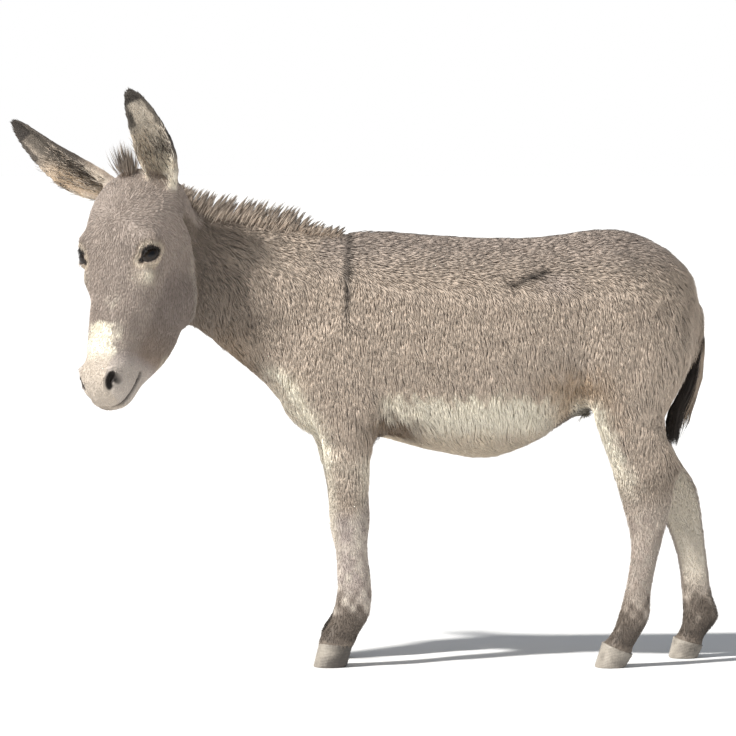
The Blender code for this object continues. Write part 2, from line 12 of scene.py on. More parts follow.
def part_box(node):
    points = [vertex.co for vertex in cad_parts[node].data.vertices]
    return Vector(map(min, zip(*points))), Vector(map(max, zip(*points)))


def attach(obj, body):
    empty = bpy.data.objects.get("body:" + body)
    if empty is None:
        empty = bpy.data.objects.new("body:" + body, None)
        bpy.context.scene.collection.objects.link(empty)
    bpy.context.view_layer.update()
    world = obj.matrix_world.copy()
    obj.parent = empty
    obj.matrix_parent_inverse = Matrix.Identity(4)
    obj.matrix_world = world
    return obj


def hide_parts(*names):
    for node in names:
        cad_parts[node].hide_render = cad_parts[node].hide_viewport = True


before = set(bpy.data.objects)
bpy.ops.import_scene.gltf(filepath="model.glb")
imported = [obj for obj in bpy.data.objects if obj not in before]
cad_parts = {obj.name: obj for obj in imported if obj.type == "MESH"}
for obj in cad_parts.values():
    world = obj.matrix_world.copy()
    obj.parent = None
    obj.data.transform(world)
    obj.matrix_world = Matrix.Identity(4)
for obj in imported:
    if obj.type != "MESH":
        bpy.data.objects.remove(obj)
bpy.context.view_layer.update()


# ---- the head's own directions -------------------------------------------------------
# A long bony head, carried on the bent neck, turned to the donkey's left with the nose down.
# Everything on the face is measured from the poll down the nose, forwards out of the face,
# and to its left.
HEAD_YAW = math.radians(55)
HEAD_PITCH = math.radians(70)
EYE_DOWN, EYE_FORWARD = 0.158, 0.033


def middle_of(node):
    """The middle of a node's box."""
    low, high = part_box(node)
    return np.array((low + high) / 2)


def unit(vectors):
    """The directions of vectors, each of length 1."""
    return vectors / np.maximum(np.linalg.norm(vectors, axis=-1, keepdims=True), 1e-9)


eye_at = {side: middle_of("eye_" + side) for side in ("left", "right")}
eye_radius = (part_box("eye_left")[1].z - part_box("eye_left")[0].z) / 2
LEFT = unit(eye_at["left"] - eye_at["right"])
ahead = np.array((-math.cos(HEAD_YAW), -math.sin(HEAD_YAW), 0))
FACE = ahead * math.sin(HEAD_PITCH) + np.array((0, 0, math.cos(HEAD_PITCH)))
FACE = unit(FACE - LEFT * (FACE @ LEFT))
DOWN = -np.cross(FACE, LEFT)
head_zero = (eye_at["left"] + eye_at["right"]) / 2 - DOWN * EYE_DOWN - FACE * EYE_FORWARD
spine_y = middle_of("trunk")[1]


def on_head(down, forward, sideways):
    """The place at a distance down from the poll, forwards and to the left."""
    return head_zero + DOWN * down + FACE * forward + LEFT * sideways


def head_measures(points):
    """Down from the poll, forwards and to the left, for each point."""
    away = points - head_zero
    return away @ DOWN, away @ FACE, away @ LEFT


# ---- skin ------------------------------------------------------------------------------
# One hide covers the whole animal, from the lips and the rims of the ears to the hooves.
# It is blended from the body's solids, drawn in by the depth of the coat and then worked
# at the eyelids, nostrils and mouth.
SKIN_GRAIN = 0.0056
HIDE = ("trunk", "neck", "head", "foreleg_left", "foreleg_right", "hindleg_left",
        "hindleg_right", "ear_left", "ear_right", "tail_dock")
HOOVES = ("forehoof_left", "forehoof_right", "hindhoof_left", "hindhoof_right")
# Each area's depth of coat, and how much the joins between its solids are smoothed out.
HIDE_AREAS = {
    "trunk": (0.010, 1.0),
    "neck": (0.011, 1.0),
    "head": (0.0035, 0.55),
    "fore": (0.0045, 0.5),
    "hind": (0.0055, 0.6),
    "ear": (0.0012, 0.16),
    "dock": (0.004, 0.5),
    "hoof": (0.0025, 0.1),
}
AREAS = tuple(HIDE_AREAS)
COAT_DEPTHS, SMOOTHINGS = np.array(list(HIDE_AREAS.values())).T
BLEND_TURNS, COAT_BLEND_TURNS, SMOOTH_TURNS, SMOOTH_STEP = 10, 45, 14, 0.6


def area_of(node):
    """The area of the coat that a node of the body belongs to."""
    kind = node.rsplit("_", 1)[0]
    return {"foreleg": "fore", "hindleg": "hind", "tail": "dock", "eye": "head",
            "forehoof": "hoof", "hindhoof": "hoof"}.get(kind, kind)


def rows_of(items, name, columns, kind=np.float32):
    """A stored value of every item of a mesh, one row each."""
    values = np.empty(len(items) * columns, kind)
    items.foreach_get(name, values)
    return values.reshape(-1, columns)


def corners_of(mesh):
    """The places of a mesh's vertices."""
    return rows_of(mesh.vertices, "co", 3).astype(float)


def normals_of(mesh):
    """The way out of the surface at each vertex."""
    return rows_of(mesh.vertex_normals, "vector", 3).astype(float)


def set_corners(mesh, places):
    """Moves a mesh's vertices."""
    mesh.vertices.foreach_set("co", places.astype(np.float32).ravel())
    mesh.update()


def averaged(values, edges):
    """Each vertex's mean over its neighbours."""
    count = len(values)
    a, b = edges.T
    near = np.bincount(a, minlength=count) + np.bincount(b, minlength=count)
    columns = [
        np.bincount(a, values[b, k], count) + np.bincount(b, values[a, k], count)
        for k in range(values.shape[1])
    ]
    return np.stack(columns, 1) / np.maximum(near, 1)[:, None]


def spread(values, edges, turns):
    """Values softened over the surface, a little more each turn."""
    for _ in range(turns):
        values = 0.4 * values + 0.6 * averaged(values, edges)
    return values


def rise(values, low, high):
    """0 at low, 1 at high, and a soft step between them."""
    share = np.clip((values - low) / (high - low), 0, 1)
    return share * share * (3 - 2 * share)


def bump(values, middle, width):
    """1 at the middle, fading to 0 within about two widths."""
    return np.exp(-((values - middle) / width) ** 2)


def ripple(points, wavelength, seed):
    """A smooth wandering value of about -1 to 1 over space."""
    draw = np.random.default_rng(seed)
    waves = unit(draw.normal(size=(7, 3))) * draw.uniform(0.7, 1.5, (7, 1))
    phases = draw.uniform(0, 2 * math.pi, 7)
    return np.sin(points @ waves.T * (2 * math.pi / wavelength) + phases).sum(1) / 2.2


def joined_solids(nodes):
    """The nodes' triangles as one mesh, with the node that each triangle comes from."""
    places, faces, owner = [], [], []
    for number, node in enumerate(nodes):
        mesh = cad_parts[node].data
        first = sum(len(p) for p in places)
        places.append(corners_of(mesh))
        for face in mesh.polygons:
            faces.append([first + v for v in face.vertices])
            owner.append(number)
    return np.concatenate(places), faces, np.array(owner)


def remeshed(mesh, grain):
    """A closed even surface over a mesh, without the bubbles that thin cuts leave inside."""
    form = bpy.data.objects.new("form", mesh)
    bpy.context.scene.collection.objects.link(form)
    modifier = form.modifiers.new("even", "REMESH")
    modifier.mode = "VOXEL"
    modifier.voxel_size = grain
    graph = bpy.context.evaluated_depsgraph_get()
    even = bpy.data.meshes.new_from_object(form.evaluated_get(graph))
    bpy.data.objects.remove(form)
    bm = bmesh.new()
    bm.from_mesh(even)
    left = set(bm.verts)
    shells = []
    while left:
        front = [left.pop()]
        shell = list(front)
        while front:
            vertex = front.pop()
            for edge in vertex.link_edges:
                other = edge.other_vert(vertex)
                if other in left:
                    left.remove(other)
                    front.append(other)
                    shell.append(other)
        shells.append(shell)
    shells.sort(key=len)
    for shell in shells[:-1]:
        bmesh.ops.delete(bm, geom=shell, context="VERTS")
    bm.to_mesh(even)
    bm.free()
    return even


# The slit of each eye runs from the tear duct, low by the nose, up to the outer corner.
LOOK = (0.62, 0.55, 0.06)           # to the side, forwards and down
SLIT = (0.70, -0.28, -0.665)
SLIT_HALF, UPPER_LID, LOWER_LID = 0.0205, 0.0138, 0.0096
LID_THICK, LID_ROLL, LID_CREASE, EYE_GAP = 0.0016, 0.0012, 0.0016, 0.004
LID_REACH = 0.012                   # how far past the ball the lids run into the face
NOSTRIL = (0.446, 0.030, 0.042)     # down, forwards and to the side
NOSTRIL_WIDE, NOSTRIL_LONG, NOSTRIL_LEAN, NOSTRIL_CURL = 0.0080, 0.0195, 0.42, 5.0
NOSTRIL_DEEP, WING_HIGH = 0.014, 0.0022
LIPS_DEEP, LIPS_HIGH = 0.0085, 0.0022
MOUTH_CORNER, MOUTH_BACK, MOUTH_SLOPE = 0.410, -0.043, 0.27


def jaw_line(down):
    """How far forward the cheek's rear edge lies, at a place down the head."""
    return np.interp(down, (0.050, 0.075, 0.112, 0.159, 0.205, 0.239, 0.270),
                     (-0.023, -0.071, -0.118, -0.134, -0.155, -0.182, -0.205))


def eye_axes(side):
    """The eye's slit, the way up across the lids, and the way it looks."""
    way = 1 if side == "left" else -1
    look = unit(LEFT * way * LOOK[0] + FACE * LOOK[1] + DOWN * LOOK[2])
    slit = LEFT * way * SLIT[0] + FACE * SLIT[1] + DOWN * SLIT[2]
    slit = unit(slit - look * (slit @ look))
    over = np.cross(look, slit)
    return slit, over if over[2] > 0 else -over, look


def eye_measures(points, side):
    """Along the slit, up over the lids, out along the look, and the gap to the lids' edge."""
    slit, over, look = eye_axes(side)
    away = points - eye_at[side]
    along, up, out = away @ slit, away @ over, away @ look
    arch = np.clip(1 - (along / SLIT_HALF) ** 2, 0, 1) ** 0.75
    edge = np.where(up > 0, up - UPPER_LID * arch, -up - LOWER_LID * arch)
    beyond = np.abs(along) - SLIT_HALF
    gap = np.where(beyond > 0, np.hypot(beyond, up), edge)
    return along, up, out, gap


def nostril_ring(down, sideways, way):
    """0 in the middle of a nostril, 1 on its rim: a slanted comma."""
    lengthwise = down - NOSTRIL[0]
    across = sideways * way - NOSTRIL[2] + NOSTRIL_LEAN * lengthwise
    across = across + NOSTRIL_CURL * lengthwise ** 2
    return np.hypot(across / NOSTRIL_WIDE, lengthwise / NOSTRIL_LONG)


def from_mouth(down, forward):
    """How far a place is in front of the line between the lips."""
    return forward - (MOUTH_BACK + MOUTH_SLOPE * (down - MOUTH_CORNER))


def finer(mesh):
    """More faces round the eyes, the nostrils and the lips."""
    bm = bmesh.new()
    bm.from_mesh(mesh)
    nostrils = [on_head(NOSTRIL[0], NOSTRIL[1], NOSTRIL[2] * way) for way in (1, -1)]
    # Each spot has its reach on the first round and on the second.
    spots = [(Vector(eye_at[side]), 0.036, 0.030) for side in eye_at]
    spots += [(Vector(place), 0.042, 0.030) for place in nostrils]
    spots += [(Vector(on_head(0.462, -0.030, 0.0)), 0.075, 0.0)]
    for turn in (0, 1):
        chosen = set()
        for place, *reaches in spots:
            for face in bm.faces:
                if (face.calc_center_median() - place).length < reaches[turn]:
                    chosen.update(face.edges)
        bmesh.ops.subdivide_edges(bm, edges=list(chosen), cuts=1, use_grid_fill=True)
    bmesh.ops.triangulate(bm, faces=[f for f in bm.faces if len(f.verts) > 4])
    bm.to_mesh(mesh)
    bm.free()


all_nodes = HIDE + HOOVES + ("eye_left", "eye_right")
places, faces, owner = joined_solids(all_nodes)
body_tree = BVHTree.FromPolygons([tuple(p) for p in places], faces)
whole = bpy.data.meshes.new("skin_form")
whole.from_pydata([tuple(p) for p in places], [], faces)
skin_mesh = remeshed(whole, SKIN_GRAIN)
skin_mesh.name = "skin"
finer(skin_mesh)

skin_points = corners_of(skin_mesh)
skin_edges = rows_of(skin_mesh.edges, "vertices", 2, np.int32)
nearest = [owner[body_tree.find_nearest(Vector(p))[2]] for p in skin_points]
area_names = np.array([AREAS.index(area_of(n)) for n in all_nodes])[nearest]
ear_is_left = np.array([all_nodes[n] == "ear_left" for n in nearest])
belongs = spread(np.eye(len(AREAS))[area_names], skin_edges, BLEND_TURNS)
# Length and depth of the coat change slowly from part to part, except at the thin ears.
coat_share = spread(belongs, skin_edges, COAT_BLEND_TURNS)
own_ear = rise(belongs[:, AREAS.index("ear")], 0.05, 0.45)[:, None]
coat_share = coat_share + (belongs - coat_share) * own_ear
smoothing = belongs @ SMOOTHINGS
for _ in range(SMOOTH_TURNS):
    pull = averaged(skin_points, skin_edges) - skin_points
    skin_points += pull * (SMOOTH_STEP * smoothing)[:, None]
set_corners(skin_mesh, skin_points)
skin_normals = normals_of(skin_mesh)

# The heights between which the trunk's long coat gives way to the leg's short one.
UPPER_LEG = {"fore": (0.34, 0.47), "hind": (0.38, 0.53)}


def like_the_trunk(points, share):
    """The shares with the upper legs counted as trunk, whose long coat runs down on them."""
    share = share.copy()
    for leg, (low, high) in UPPER_LEG.items():
        moved = share[:, AREAS.index(leg)] * rise(points[:, 2], low, high)
        share[:, AREAS.index(leg)] -= moved
        share[:, AREAS.index("trunk")] += moved
    return share


coat_share = like_the_trunk(skin_points, coat_share)


def coat_depth(points, share):
    """How far the tips of the coat stand over the skin."""
    down = head_measures(points)[0]
    muzzle = share[:, AREAS.index("head")] * rise(down, 0.30, 0.40)
    shin = rise(points[:, 2], 0.38, 0.24)
    return share @ COAT_DEPTHS * (1 - 0.8 * muzzle) * (1 - 0.45 * shin)


skin_points -= skin_normals * coat_depth(skin_points, coat_share)[:, None]


# Hollows and ridges of the skull under the hide: down, forwards, to the side, radius, height.
FACE_RELIEF = (
    (0.108, 0.035, 0.088, 0.020, -0.0050),      # hollow over the eye
    (0.128, 0.062, 0.074, 0.016, 0.0035),       # brow
    (0.205, 0.022, 0.082, 0.018, 0.0030),       # facial crest, upper end
    (0.240, 0.010, 0.078, 0.018, 0.0035),
    (0.275, -0.002, 0.072, 0.018, 0.0025),
    (0.255, 0.050, 0.052, 0.026, -0.0040),      # between the crest and the nose
    (0.345, -0.050, 0.062, 0.030, -0.0050),     # behind the lips
    (0.200, -0.120, 0.095, 0.050, 0.0045),      # round plate of the jaw
    (0.395, 0.040, 0.046, 0.022, -0.0030),      # above the nostril
)


def work_the_face(points, normals):
    """Eyelids, cheek edge, nostrils and mouth; also says which points are in a nostril."""
    for side, place in eye_at.items():
        along, up, out, gap = eye_measures(points, side)
        away = points - place
        far = np.linalg.norm(away, axis=1)
        front = (out > 0) & (far < eye_radius + LID_REACH)
        lid = eye_radius + LID_THICK + LID_ROLL * bump(gap, 0.0015, 0.0018)
        lid = lid - LID_CREASE * bump(gap, 0.0075, 0.0016) * (up > 0)
        wanted = np.where(gap < 0, eye_radius - EYE_GAP, np.maximum(far, lid))
        fade = rise(far, eye_radius + LID_REACH, eye_radius + LID_REACH / 2)
        wanted = far + (wanted - far) * fade
        points[front] = place + away[front] * (wanted / far)[front, None]
        over_eye = (up > 0) * rise(np.abs(along), 0.036, 0.020) * (out > -0.01)
        fold = bump(gap, 0.0170, 0.0026) - bump(gap, 0.0130, 0.0020) - 0.8 * bump(gap, 0.0205, 0.002)
        points += normals * (fold * 0.0020 * over_eye)[:, None]
    down, forward, sideways = head_measures(points)
    line = jaw_line(down)
    side = rise(np.abs(sideways), 0.03, 0.06) * rise(down, 0.03, 0.08) * rise(down, 0.29, 0.24)
    groove = bump(forward, line - 0.016, 0.014) * 0.010 - bump(forward, line + 0.016, 0.014) * 0.003
    points -= normals * (groove * side)[:, None]
    for *spot, radius, height in FACE_RELIEF:
        for way in (1, -1):
            place = on_head(spot[0], spot[1], spot[2] * way)
            reach = np.linalg.norm(points - place, axis=1) / radius
            points += normals * (height * np.exp(-reach ** 2))[:, None]
    down, forward, sideways = head_measures(points)
    on_the_head = rise(down, 0.30, 0.33) * (np.abs(sideways) < 0.12) * (np.abs(forward) < 0.3)
    nostrils = np.zeros(len(points))
    for way in (1, -1):
        ring = nostril_ring(down, sideways, way)
        wing = on_the_head * (forward > -0.02)
        points -= normals * (NOSTRIL_DEEP * rise(ring, 1.05, 0.55) * wing)[:, None]
        points += normals * (WING_HIGH * bump(ring, 1.45, 0.35) * wing)[:, None]
        nostrils = np.maximum(nostrils, rise(ring, 1.12, 0.90) * wing)
    slit = from_mouth(down, forward)
    lips = on_the_head * rise(down, MOUTH_CORNER - 0.012, MOUTH_CORNER + 0.006)
    points -= normals * (LIPS_DEEP * bump(slit, 0, 0.0030) * lips)[:, None]
    points += normals * (LIPS_HIGH * bump(np.abs(slit), 0.009, 0.005) * lips)[:, None]
    return points, nostrils


skin_points, nostrils = work_the_face(skin_points, skin_normals)
set_corners(skin_mesh, skin_points)
skin_normals = normals_of(skin_mesh)
skin_mesh.shade_smooth()
skin = bpy.data.objects.new("skin", skin_mesh)
bpy.context.scene.collection.objects.link(skin)

skin_mesh.uv_layers.new(name="OFBake")
bpy.context.view_layer.objects.active = skin
skin.select_set(True)
bpy.ops.object.mode_set(mode="EDIT")
bpy.ops.mesh.select_all(action="SELECT")
bpy.ops.uv.smart_project(angle_limit=math.radians(66), island_margin=0.004)
bpy.ops.object.mode_set(mode="OBJECT")
skin.select_set(False)


# ---- ears' own directions --------------------------------------------------------------
# Each ear is a curled leaf of gristle under thin skin, rooted beside the poll.  Its hair and
# its markings follow its length and its width.  The rows are the root, the reach to the tip,
# the bow between them and the way that the mouth of the ear opens.
EAR_LEAF = {
    "left": ((-0.012, 0.004, 0.071), (-0.080, -0.090, 0.220), (0.014, 0.004, 0.004),
             (-0.30, -0.95, 0.0)),
    "right": ((-0.014, 0.000, -0.083), (-0.226, 0.045, 0.160), (0.002, 0.0, -0.018),
              (-0.28, -0.80, -0.52)),
}
EAR_HALF_WIDTH = ((0.0, 0.030), (0.28, 0.044), (0.60, 0.043), (0.89, 0.028), (1.0, 0.012))


def on_ear(left_ear, side):
    """Which points are on this side's ear, of those on either."""
    return left_ear if side == "left" else ~left_ear


def ear_measures(points, side):
    """Share of the ear's length, place over its width from -1 to 1, and how far inside."""
    place, reach, bow, opening = (np.array(v, float) for v in EAR_LEAF[side])
    base = on_head(*place)
    share = (points - base) @ reach / (reach @ reach)
    centre = base + reach * share[:, None] + bow * (4 * share * (1 - share))[:, None]
    axis = unit(reach)
    cup = unit(opening - axis * (opening @ axis))
    across = np.cross(axis, cup)
    half = np.interp(share, *zip(*EAR_HALF_WIDTH))
    return share, (points - centre) @ across / half, (points - centre) @ cup, cup, axis


# ---- markings --------------------------------------------------------------------------
# A dun coat: taupe, with a cream belly and muzzle, brown behind the jaw and elbow, and a
# black-brown cross over the shoulders, ear tips, fetlocks and tail.  The brown behind the jaw
# is partly painted shadow of the head.  Skin and coat share one set of markings, each a value
# from 0 to 1 at a place on the body.  They cover one another in this order.  Places are in
# metres: x along the back, z up, and the head's own.
MARKS = ("brown", "tan", "grey", "pale", "dark")
# Painted shadow of a parting in the hair over the near flank: its two ends.
PARTING_SHADOW_LINE = np.array(((0.316, 0.858), (0.396, 0.887)))     # parting of the hair: back and height
EAR_PALENESS = {"left": 1.0, "right": 0.45}


def no_marks(count):
    """Unmarked hair: every marking at 0."""
    return {name: np.zeros(count) for name in MARKS}


class Place:
    """What the markings need to know of each point of the skin."""

    def __init__(self, points, normals, share, left_ear):
        self.points, self.normals, self.left_ear = points, normals, left_ear
        self.x, self.y, self.z = points.T
        self.part = dict(zip(AREAS, share.T))
        self.small, self.large = ripple(points, 0.030, 5), ripple(points, 0.11, 6)
        self.down, self.forward, self.sideways = head_measures(points)
        self.wide = np.abs(self.sideways)
        rear = jaw_line(self.down)
        behind = rise(self.forward, rear + 0.003, rear - 0.007)
        self.behind_jaw = behind * rise(self.down, 0.02, 0.05) * rise(self.down, 0.34, 0.28)
        self.marks = no_marks(len(points))

    def lay(self, where, **strengths):
        """Lays markings on a place, wherever they are stronger than what is there."""
        for name, strength in strengths.items():
            amount = np.clip(where * strength, 0, 1)
            self.marks[name] = np.maximum(self.marks[name], amount)


def mark_underside(here):
    """The elbow's dark patch, the sheath, the cream belly and the breast's white streak."""
    lay, x, z, small, large = here.lay, here.x, here.z, here.small, here.large
    trunk, fore, neck = (here.part[name] for name in ("trunk", "fore", "neck"))
    elbow = bump(x, 0.058, 0.056) * bump(z + 0.01 * small, 0.532, 0.032)
    elbow = elbow * rise(np.abs(here.y - spine_y), 0.02, 0.07)
    lay(trunk * elbow, brown=1.5, dark=0.40, tan=0.5)
    from_sheath = (here.points - (0.458, spine_y, 0.580)) * (0.8, 1, 1)
    sheath = rise(np.linalg.norm(from_sheath, axis=1), 0.076, 0.044)
    lay(sheath, brown=1.4, dark=0.6)
    belly = rise(z + 0.008 * small + 0.006 * large, 0.628, 0.598)
    belly = belly * rise(x, 0.01, 0.05) * rise(x, 0.47, 0.36)
    belly = belly * (1 - np.clip(elbow * 1.5, 0, 1)) * (1 - sheath)
    low = rise(z, 0.555, 0.515)
    lay(trunk * belly, pale=1.00 - 0.50 * low, tan=0.50 + 0.25 * low)
    fold = trunk * rise(z + 0.01 * small, 0.70, 0.62)
    lay(fold * bump(x, 0.470, 0.075), tan=0.65)
    lay(fold * bump(x, 0.490, 0.045), brown=0.45)
    lay(trunk * rise(x, -0.11, -0.17) * rise(z, 0.70, 0.60), pale=0.60, tan=0.30)
    breast_line = np.interp(z, (0.40, 0.49, 0.55, 0.65, 0.72),
                            (-0.105, -0.100, -0.128, -0.190, -0.24))
    streak = bump(x + 0.006 * small, breast_line, 0.028)
    streak = (trunk + neck + fore) * streak * rise(z, 0.38, 0.46) * rise(z, 0.70, 0.64)
    lay(streak, pale=1.25 + 0.3 * small, tan=0.18)


def mark_legs(here):
    """Pale insides and fronts, silver below the knee and hock, and dark fetlocks."""
    lay, x, z, small, large = here.lay, here.x, here.z, here.small, here.large
    trunk, fore, hind = (here.part[name] for name in ("trunk", "fore", "hind"))
    legs = fore + hind
    outward = here.normals[:, 0]
    inward = rise(-np.sign(here.y - spine_y) * here.normals[:, 1], 0.2, 0.8)
    lay((legs * rise(z, 0.12, 0.22) + trunk * rise(z, 0.62, 0.56)) * inward, pale=0.58)
    front_edge = np.interp(z, (0.32, 0.42, 0.535, 0.60), (0.597, 0.573, 0.515, 0.491))
    thigh_front = rise(x - front_edge + 0.006 * small, 0.050, 0.012) * rise(x, 0.44, 0.475)
    lay(thigh_front * rise(z, 0.625, 0.575) * rise(z, 0.34, 0.48), pale=1)
    lay(fore * rise(z, 0.36, 0.50), pale=0.30)
    lay(fore * rise(outward, 0.0, 0.7) * bump(z, 0.46, 0.09), pale=0.6)
    sock = rise(z + 0.018 * small + 0.014 * large, 0.180, 0.100)
    silver = legs * rise(z + 0.03 * large, 0.44, 0.30) * (1 - sock)
    silver = silver * (1 - 0.5 * rise(x, 0.3, 0.5))
    lay(silver, grey=0.66, pale=0.20 + 0.16 * small)
    lay(fore * rise(-outward, 0.2, 0.9) * rise(z, 0.16, 0.34), pale=0.6)
    lay(fore * bump(z, 0.265 + 0.02 * large, 0.04), pale=0.30)
    lay(fore * bump(z, 0.36 + 0.02 * large, 0.04), brown=0.30)
    lay(hind * rise(z, 0.56, 0.42), brown=0.30 + 0.2 * large)
    lay(hind * bump(z, 0.22 + 0.02 * large, 0.08), brown=0.56 + 0.2 * small)
    lay(legs * sock, dark=0.45 + 0.10 * rise(z, 0.105, 0.075), brown=0.9)
    lay(legs * bump(z + 0.01 * small, 0.062, 0.012), dark=0.72)
    lay(legs * bump(z + 0.02 * large, 0.315, 0.03), brown=0.30)
    lay(here.part["hoof"], dark=1)


def mark_back(here):
    """The cross, painted shadow along the parting over the flank, the browner rump, the throat
    browned partly by painted shadow of the head, and the dock.
    """
    lay, x, z, small, large = here.lay, here.x, here.z, here.small, here.large
    trunk, dock = here.part["trunk"], here.part["dock"]
    band = x - (-0.043 - 0.02 * (0.99 - z))
    width = 0.0085 * rise(z, 0.72, 0.93) + 0.0025
    over = rise(z + 0.01 * small, 0.71, 0.82) * (x > -0.12)
    band = bump(band + 0.0015 * small, 0, width) * over
    lay((trunk + here.part["neck"]) * band, dark=0.78)
    back = rise(z, 0.90, 0.93) * (x > -0.04)
    lay(trunk * rise(z, 0.86, 0.96), grey=0.34)
    lay(trunk * bump(np.abs(here.y - spine_y), 0, 0.008) * back, dark=0.7)
    start, end = PARTING_SHADOW_LINE
    run = end - start
    flat = here.points[:, (0, 2)] - start
    along = np.clip(flat @ run / (run @ run), 0, 1)
    off = np.linalg.norm(flat - along[:, None] * run, axis=1) + 0.002 * small
    near_side = trunk * (here.y < spine_y)
    # Painted shadow in the parting: a dark line that widens and darkens along it, in a brown haze.
    lay(near_side * bump(off, 0, 0.0035 + 0.0030 * along), dark=0.50 + 0.48 * along)
    lay(near_side * bump(off, 0, 0.012), brown=0.8)
    lay(trunk * rise(x, 0.50, 0.68) * rise(z, 0.66, 0.82), brown=0.40)
    lay(near_side * bump(x, 0.425, 0.045) * bump(z, 0.862, 0.030), grey=0.34)
    neck = here.part["neck"] + here.part["head"] * here.behind_jaw
    # Painted shadow of the head on the neck: brown over the neck's front and dark nearest the jaw,
    # partly browner hair and partly shadow.
    lay(neck * rise(x + 0.02 * large, -0.17, -0.31), brown=0.86)
    lay(neck * rise(x + 0.01 * large, -0.30, -0.37), dark=0.16)
    lay(neck * rise(z, 0.80, 0.70) * rise(x, -0.20, -0.34), tan=0.35)
    lay(dock, brown=0.35, dark=0.5 * rise(z, 0.74, 0.68))


def mark_face(here):
    """Grey-brown cheeks, a white nose and star, a grey muzzle, a dark mouth that is partly painted
    shade between the lips, a painted highlight along the jaw and painted shade in the wrinkles over
    the eyes.
    """
    lay, small = here.lay, here.small
    down, forward, sideways, wide = here.down, here.forward, here.sideways, here.wide
    head = here.part["head"] * (1 - here.behind_jaw)
    cheek = rise(forward, 0.01, -0.05) * rise(down, 0.10, 0.20)
    lay(head, brown=0.42, grey=0.34)
    lay(head * cheek, brown=0.95, tan=0.4 * rise(down, 0.26, 0.38))
    # Painted highlight: a pale rim along the cheek's rear edge, where the light catches the jaw.
    jaw_rim_highlight = bump(forward, jaw_line(down) + 0.013, 0.009)
    jaw_rim_highlight = jaw_rim_highlight * rise(down, 0.06, 0.14) * rise(down, 0.30, 0.24)
    lay(head * jaw_rim_highlight, pale=0.17)
    nose = rise(down + 0.004 * small, 0.314, 0.324) * rise(forward, -0.005, 0.015)
    nose = nose * rise(wide + 0.004 * small, 0.040, 0.029)
    end_of_nose = rise(down, 0.365, 0.415)
    lay(head * nose, pale=1.06 - 0.72 * end_of_nose)
    beside_nose = bump(down, 0.347, 0.026) * bump(wide, 0.040, 0.010)
    star = bump(down, 0.275, 0.014) * bump(sideways, 0.022, 0.012)
    lay(head * (beside_nose * 0.6 + star * 0.6), pale=0.7 + 0.5 * small)
    lay(head * end_of_nose, pale=0.30, tan=0.36, grey=0.46)
    lay(head * rise(down, 0.345, 0.395) * rise(wide, 0.026, 0.040), grey=0.85)
    slit = from_mouth(down, forward)
    mouth = rise(down, MOUTH_CORNER - 0.012, MOUTH_CORNER) * rise(down, 0.494, 0.482)
    # Near black along the join of the lips: partly dark skin, partly painted shade in the groove.
    lay(head * mouth * bump(slit, 0, 0.0050), dark=0.9)
    lay(head * mouth * rise(slit, -0.002, -0.014), brown=0.5)
    under_eye = bump(down, 0.203, 0.018) * bump(forward, 0.024, 0.020) * rise(wide, 0.04, 0.055)
    lay(head * under_eye, pale=0.85, tan=0.5)
    for side in eye_at:
        along, up, out, gap = eye_measures(here.points, side)
        near = head * (out > -0.01)
        lay(near * bump(gap, 0.0135, 0.006), pale=0.48)
        lay(near * bump(gap, 0.012, 0.009), tan=0.85)
        lay(near * bump(up, 0, 0.0035) * rise(np.abs(along), 0.034, 0.026), dark=1)
        lay(near * rise(gap - 0.0020 * (up > 0), 0.0072, 0.0042), dark=1)
        # Painted shade in the wrinkles over the eye, laid in the folds that are carved above the lid.
        lid_crease_shade = bump(gap, 0.0135, 0.0018) + bump(gap, 0.0205, 0.0022) * 0.8
        lay(near * lid_crease_shade * rise(up, 0.004, 0.012), brown=0.95, dark=0.25)
        duct = bump(up + 0.40 * (along + SLIT_HALF), 0, 0.0034) * rise(along, -0.038, -0.024)
        lay(near * duct * rise(along, -0.010, -0.017), dark=0.85)


def mark_ears(here):
    """Dark tips and rims round a cream or tan mouth, with painted shade in the hollow and a brown
    vein; the far ear's cup has a band of dark hair and painted shade, with painted light shining
    through near the base.
    """
    lay, small = here.lay, here.small
    for side in EAR_LEAF:
        length, over_width, _, cup, _ = ear_measures(here.points, side)
        ear = here.part["ear"] * on_ear(here.left_ear, side)
        within = rise(here.normals @ cup, -0.1, 0.4)
        tip = rise(length + 0.03 * small, 0.80, 0.88)
        edge = rise(np.abs(over_width) + 0.05 * small + 0.14 * (over_width > 0), 0.50, 0.72)
        rim = edge * np.where(over_width > 0, rise(length, 0.15, 0.4), rise(length, 0.55, 0.68))
        lay(ear * np.maximum(tip * 0.92, rim * 0.85), dark=1)
        lay(ear * (1 - within), brown=0.25)
        inner = ear * within
        lay(inner * (0.42 + 0.40 * rise(length, 0.30, 0.08)), pale=EAR_PALENESS[side])
        lay(inner * rise(over_width, -0.1, -0.6) * rise(length, 0.70, 0.35), tan=0.95)
        # Painted shade in the hollow of the cup, broken into patches.
        deep = bump(length, 0.32, 0.08) * bump(over_width, 0.20, 0.28)
        lay(inner * deep * (small > -0.3), dark=0.8)
        vein = bump(over_width + 0.15 * small, 0.0, 0.10) * rise(length, 0.25, 0.45)
        lay(inner * vein * rise(length, 0.80, 0.65), brown=0.8)
        if side == "right":
            # The far ear's band: partly dark-brown hair, partly painted shade deep in its cup; its
            # tan towards the base is painted sunlight shining through the ear.
            band = inner * rise(over_width, -0.75, -0.35) * rise(over_width, 0.75, 0.40)
            lay(band, brown=0.95, tan=0.4 * rise(length, 0.6, 0.1))
            lay(band * rise(length, 0.0, 0.5), dark=0.62)


def markings(points, normals, share, left_ear):
    """The five markings at each point of the skin."""
    here = Place(points, normals, share, left_ear)
    for mark in (mark_underside, mark_legs, mark_back, mark_face, mark_ears):
        mark(here)
    return here.marks


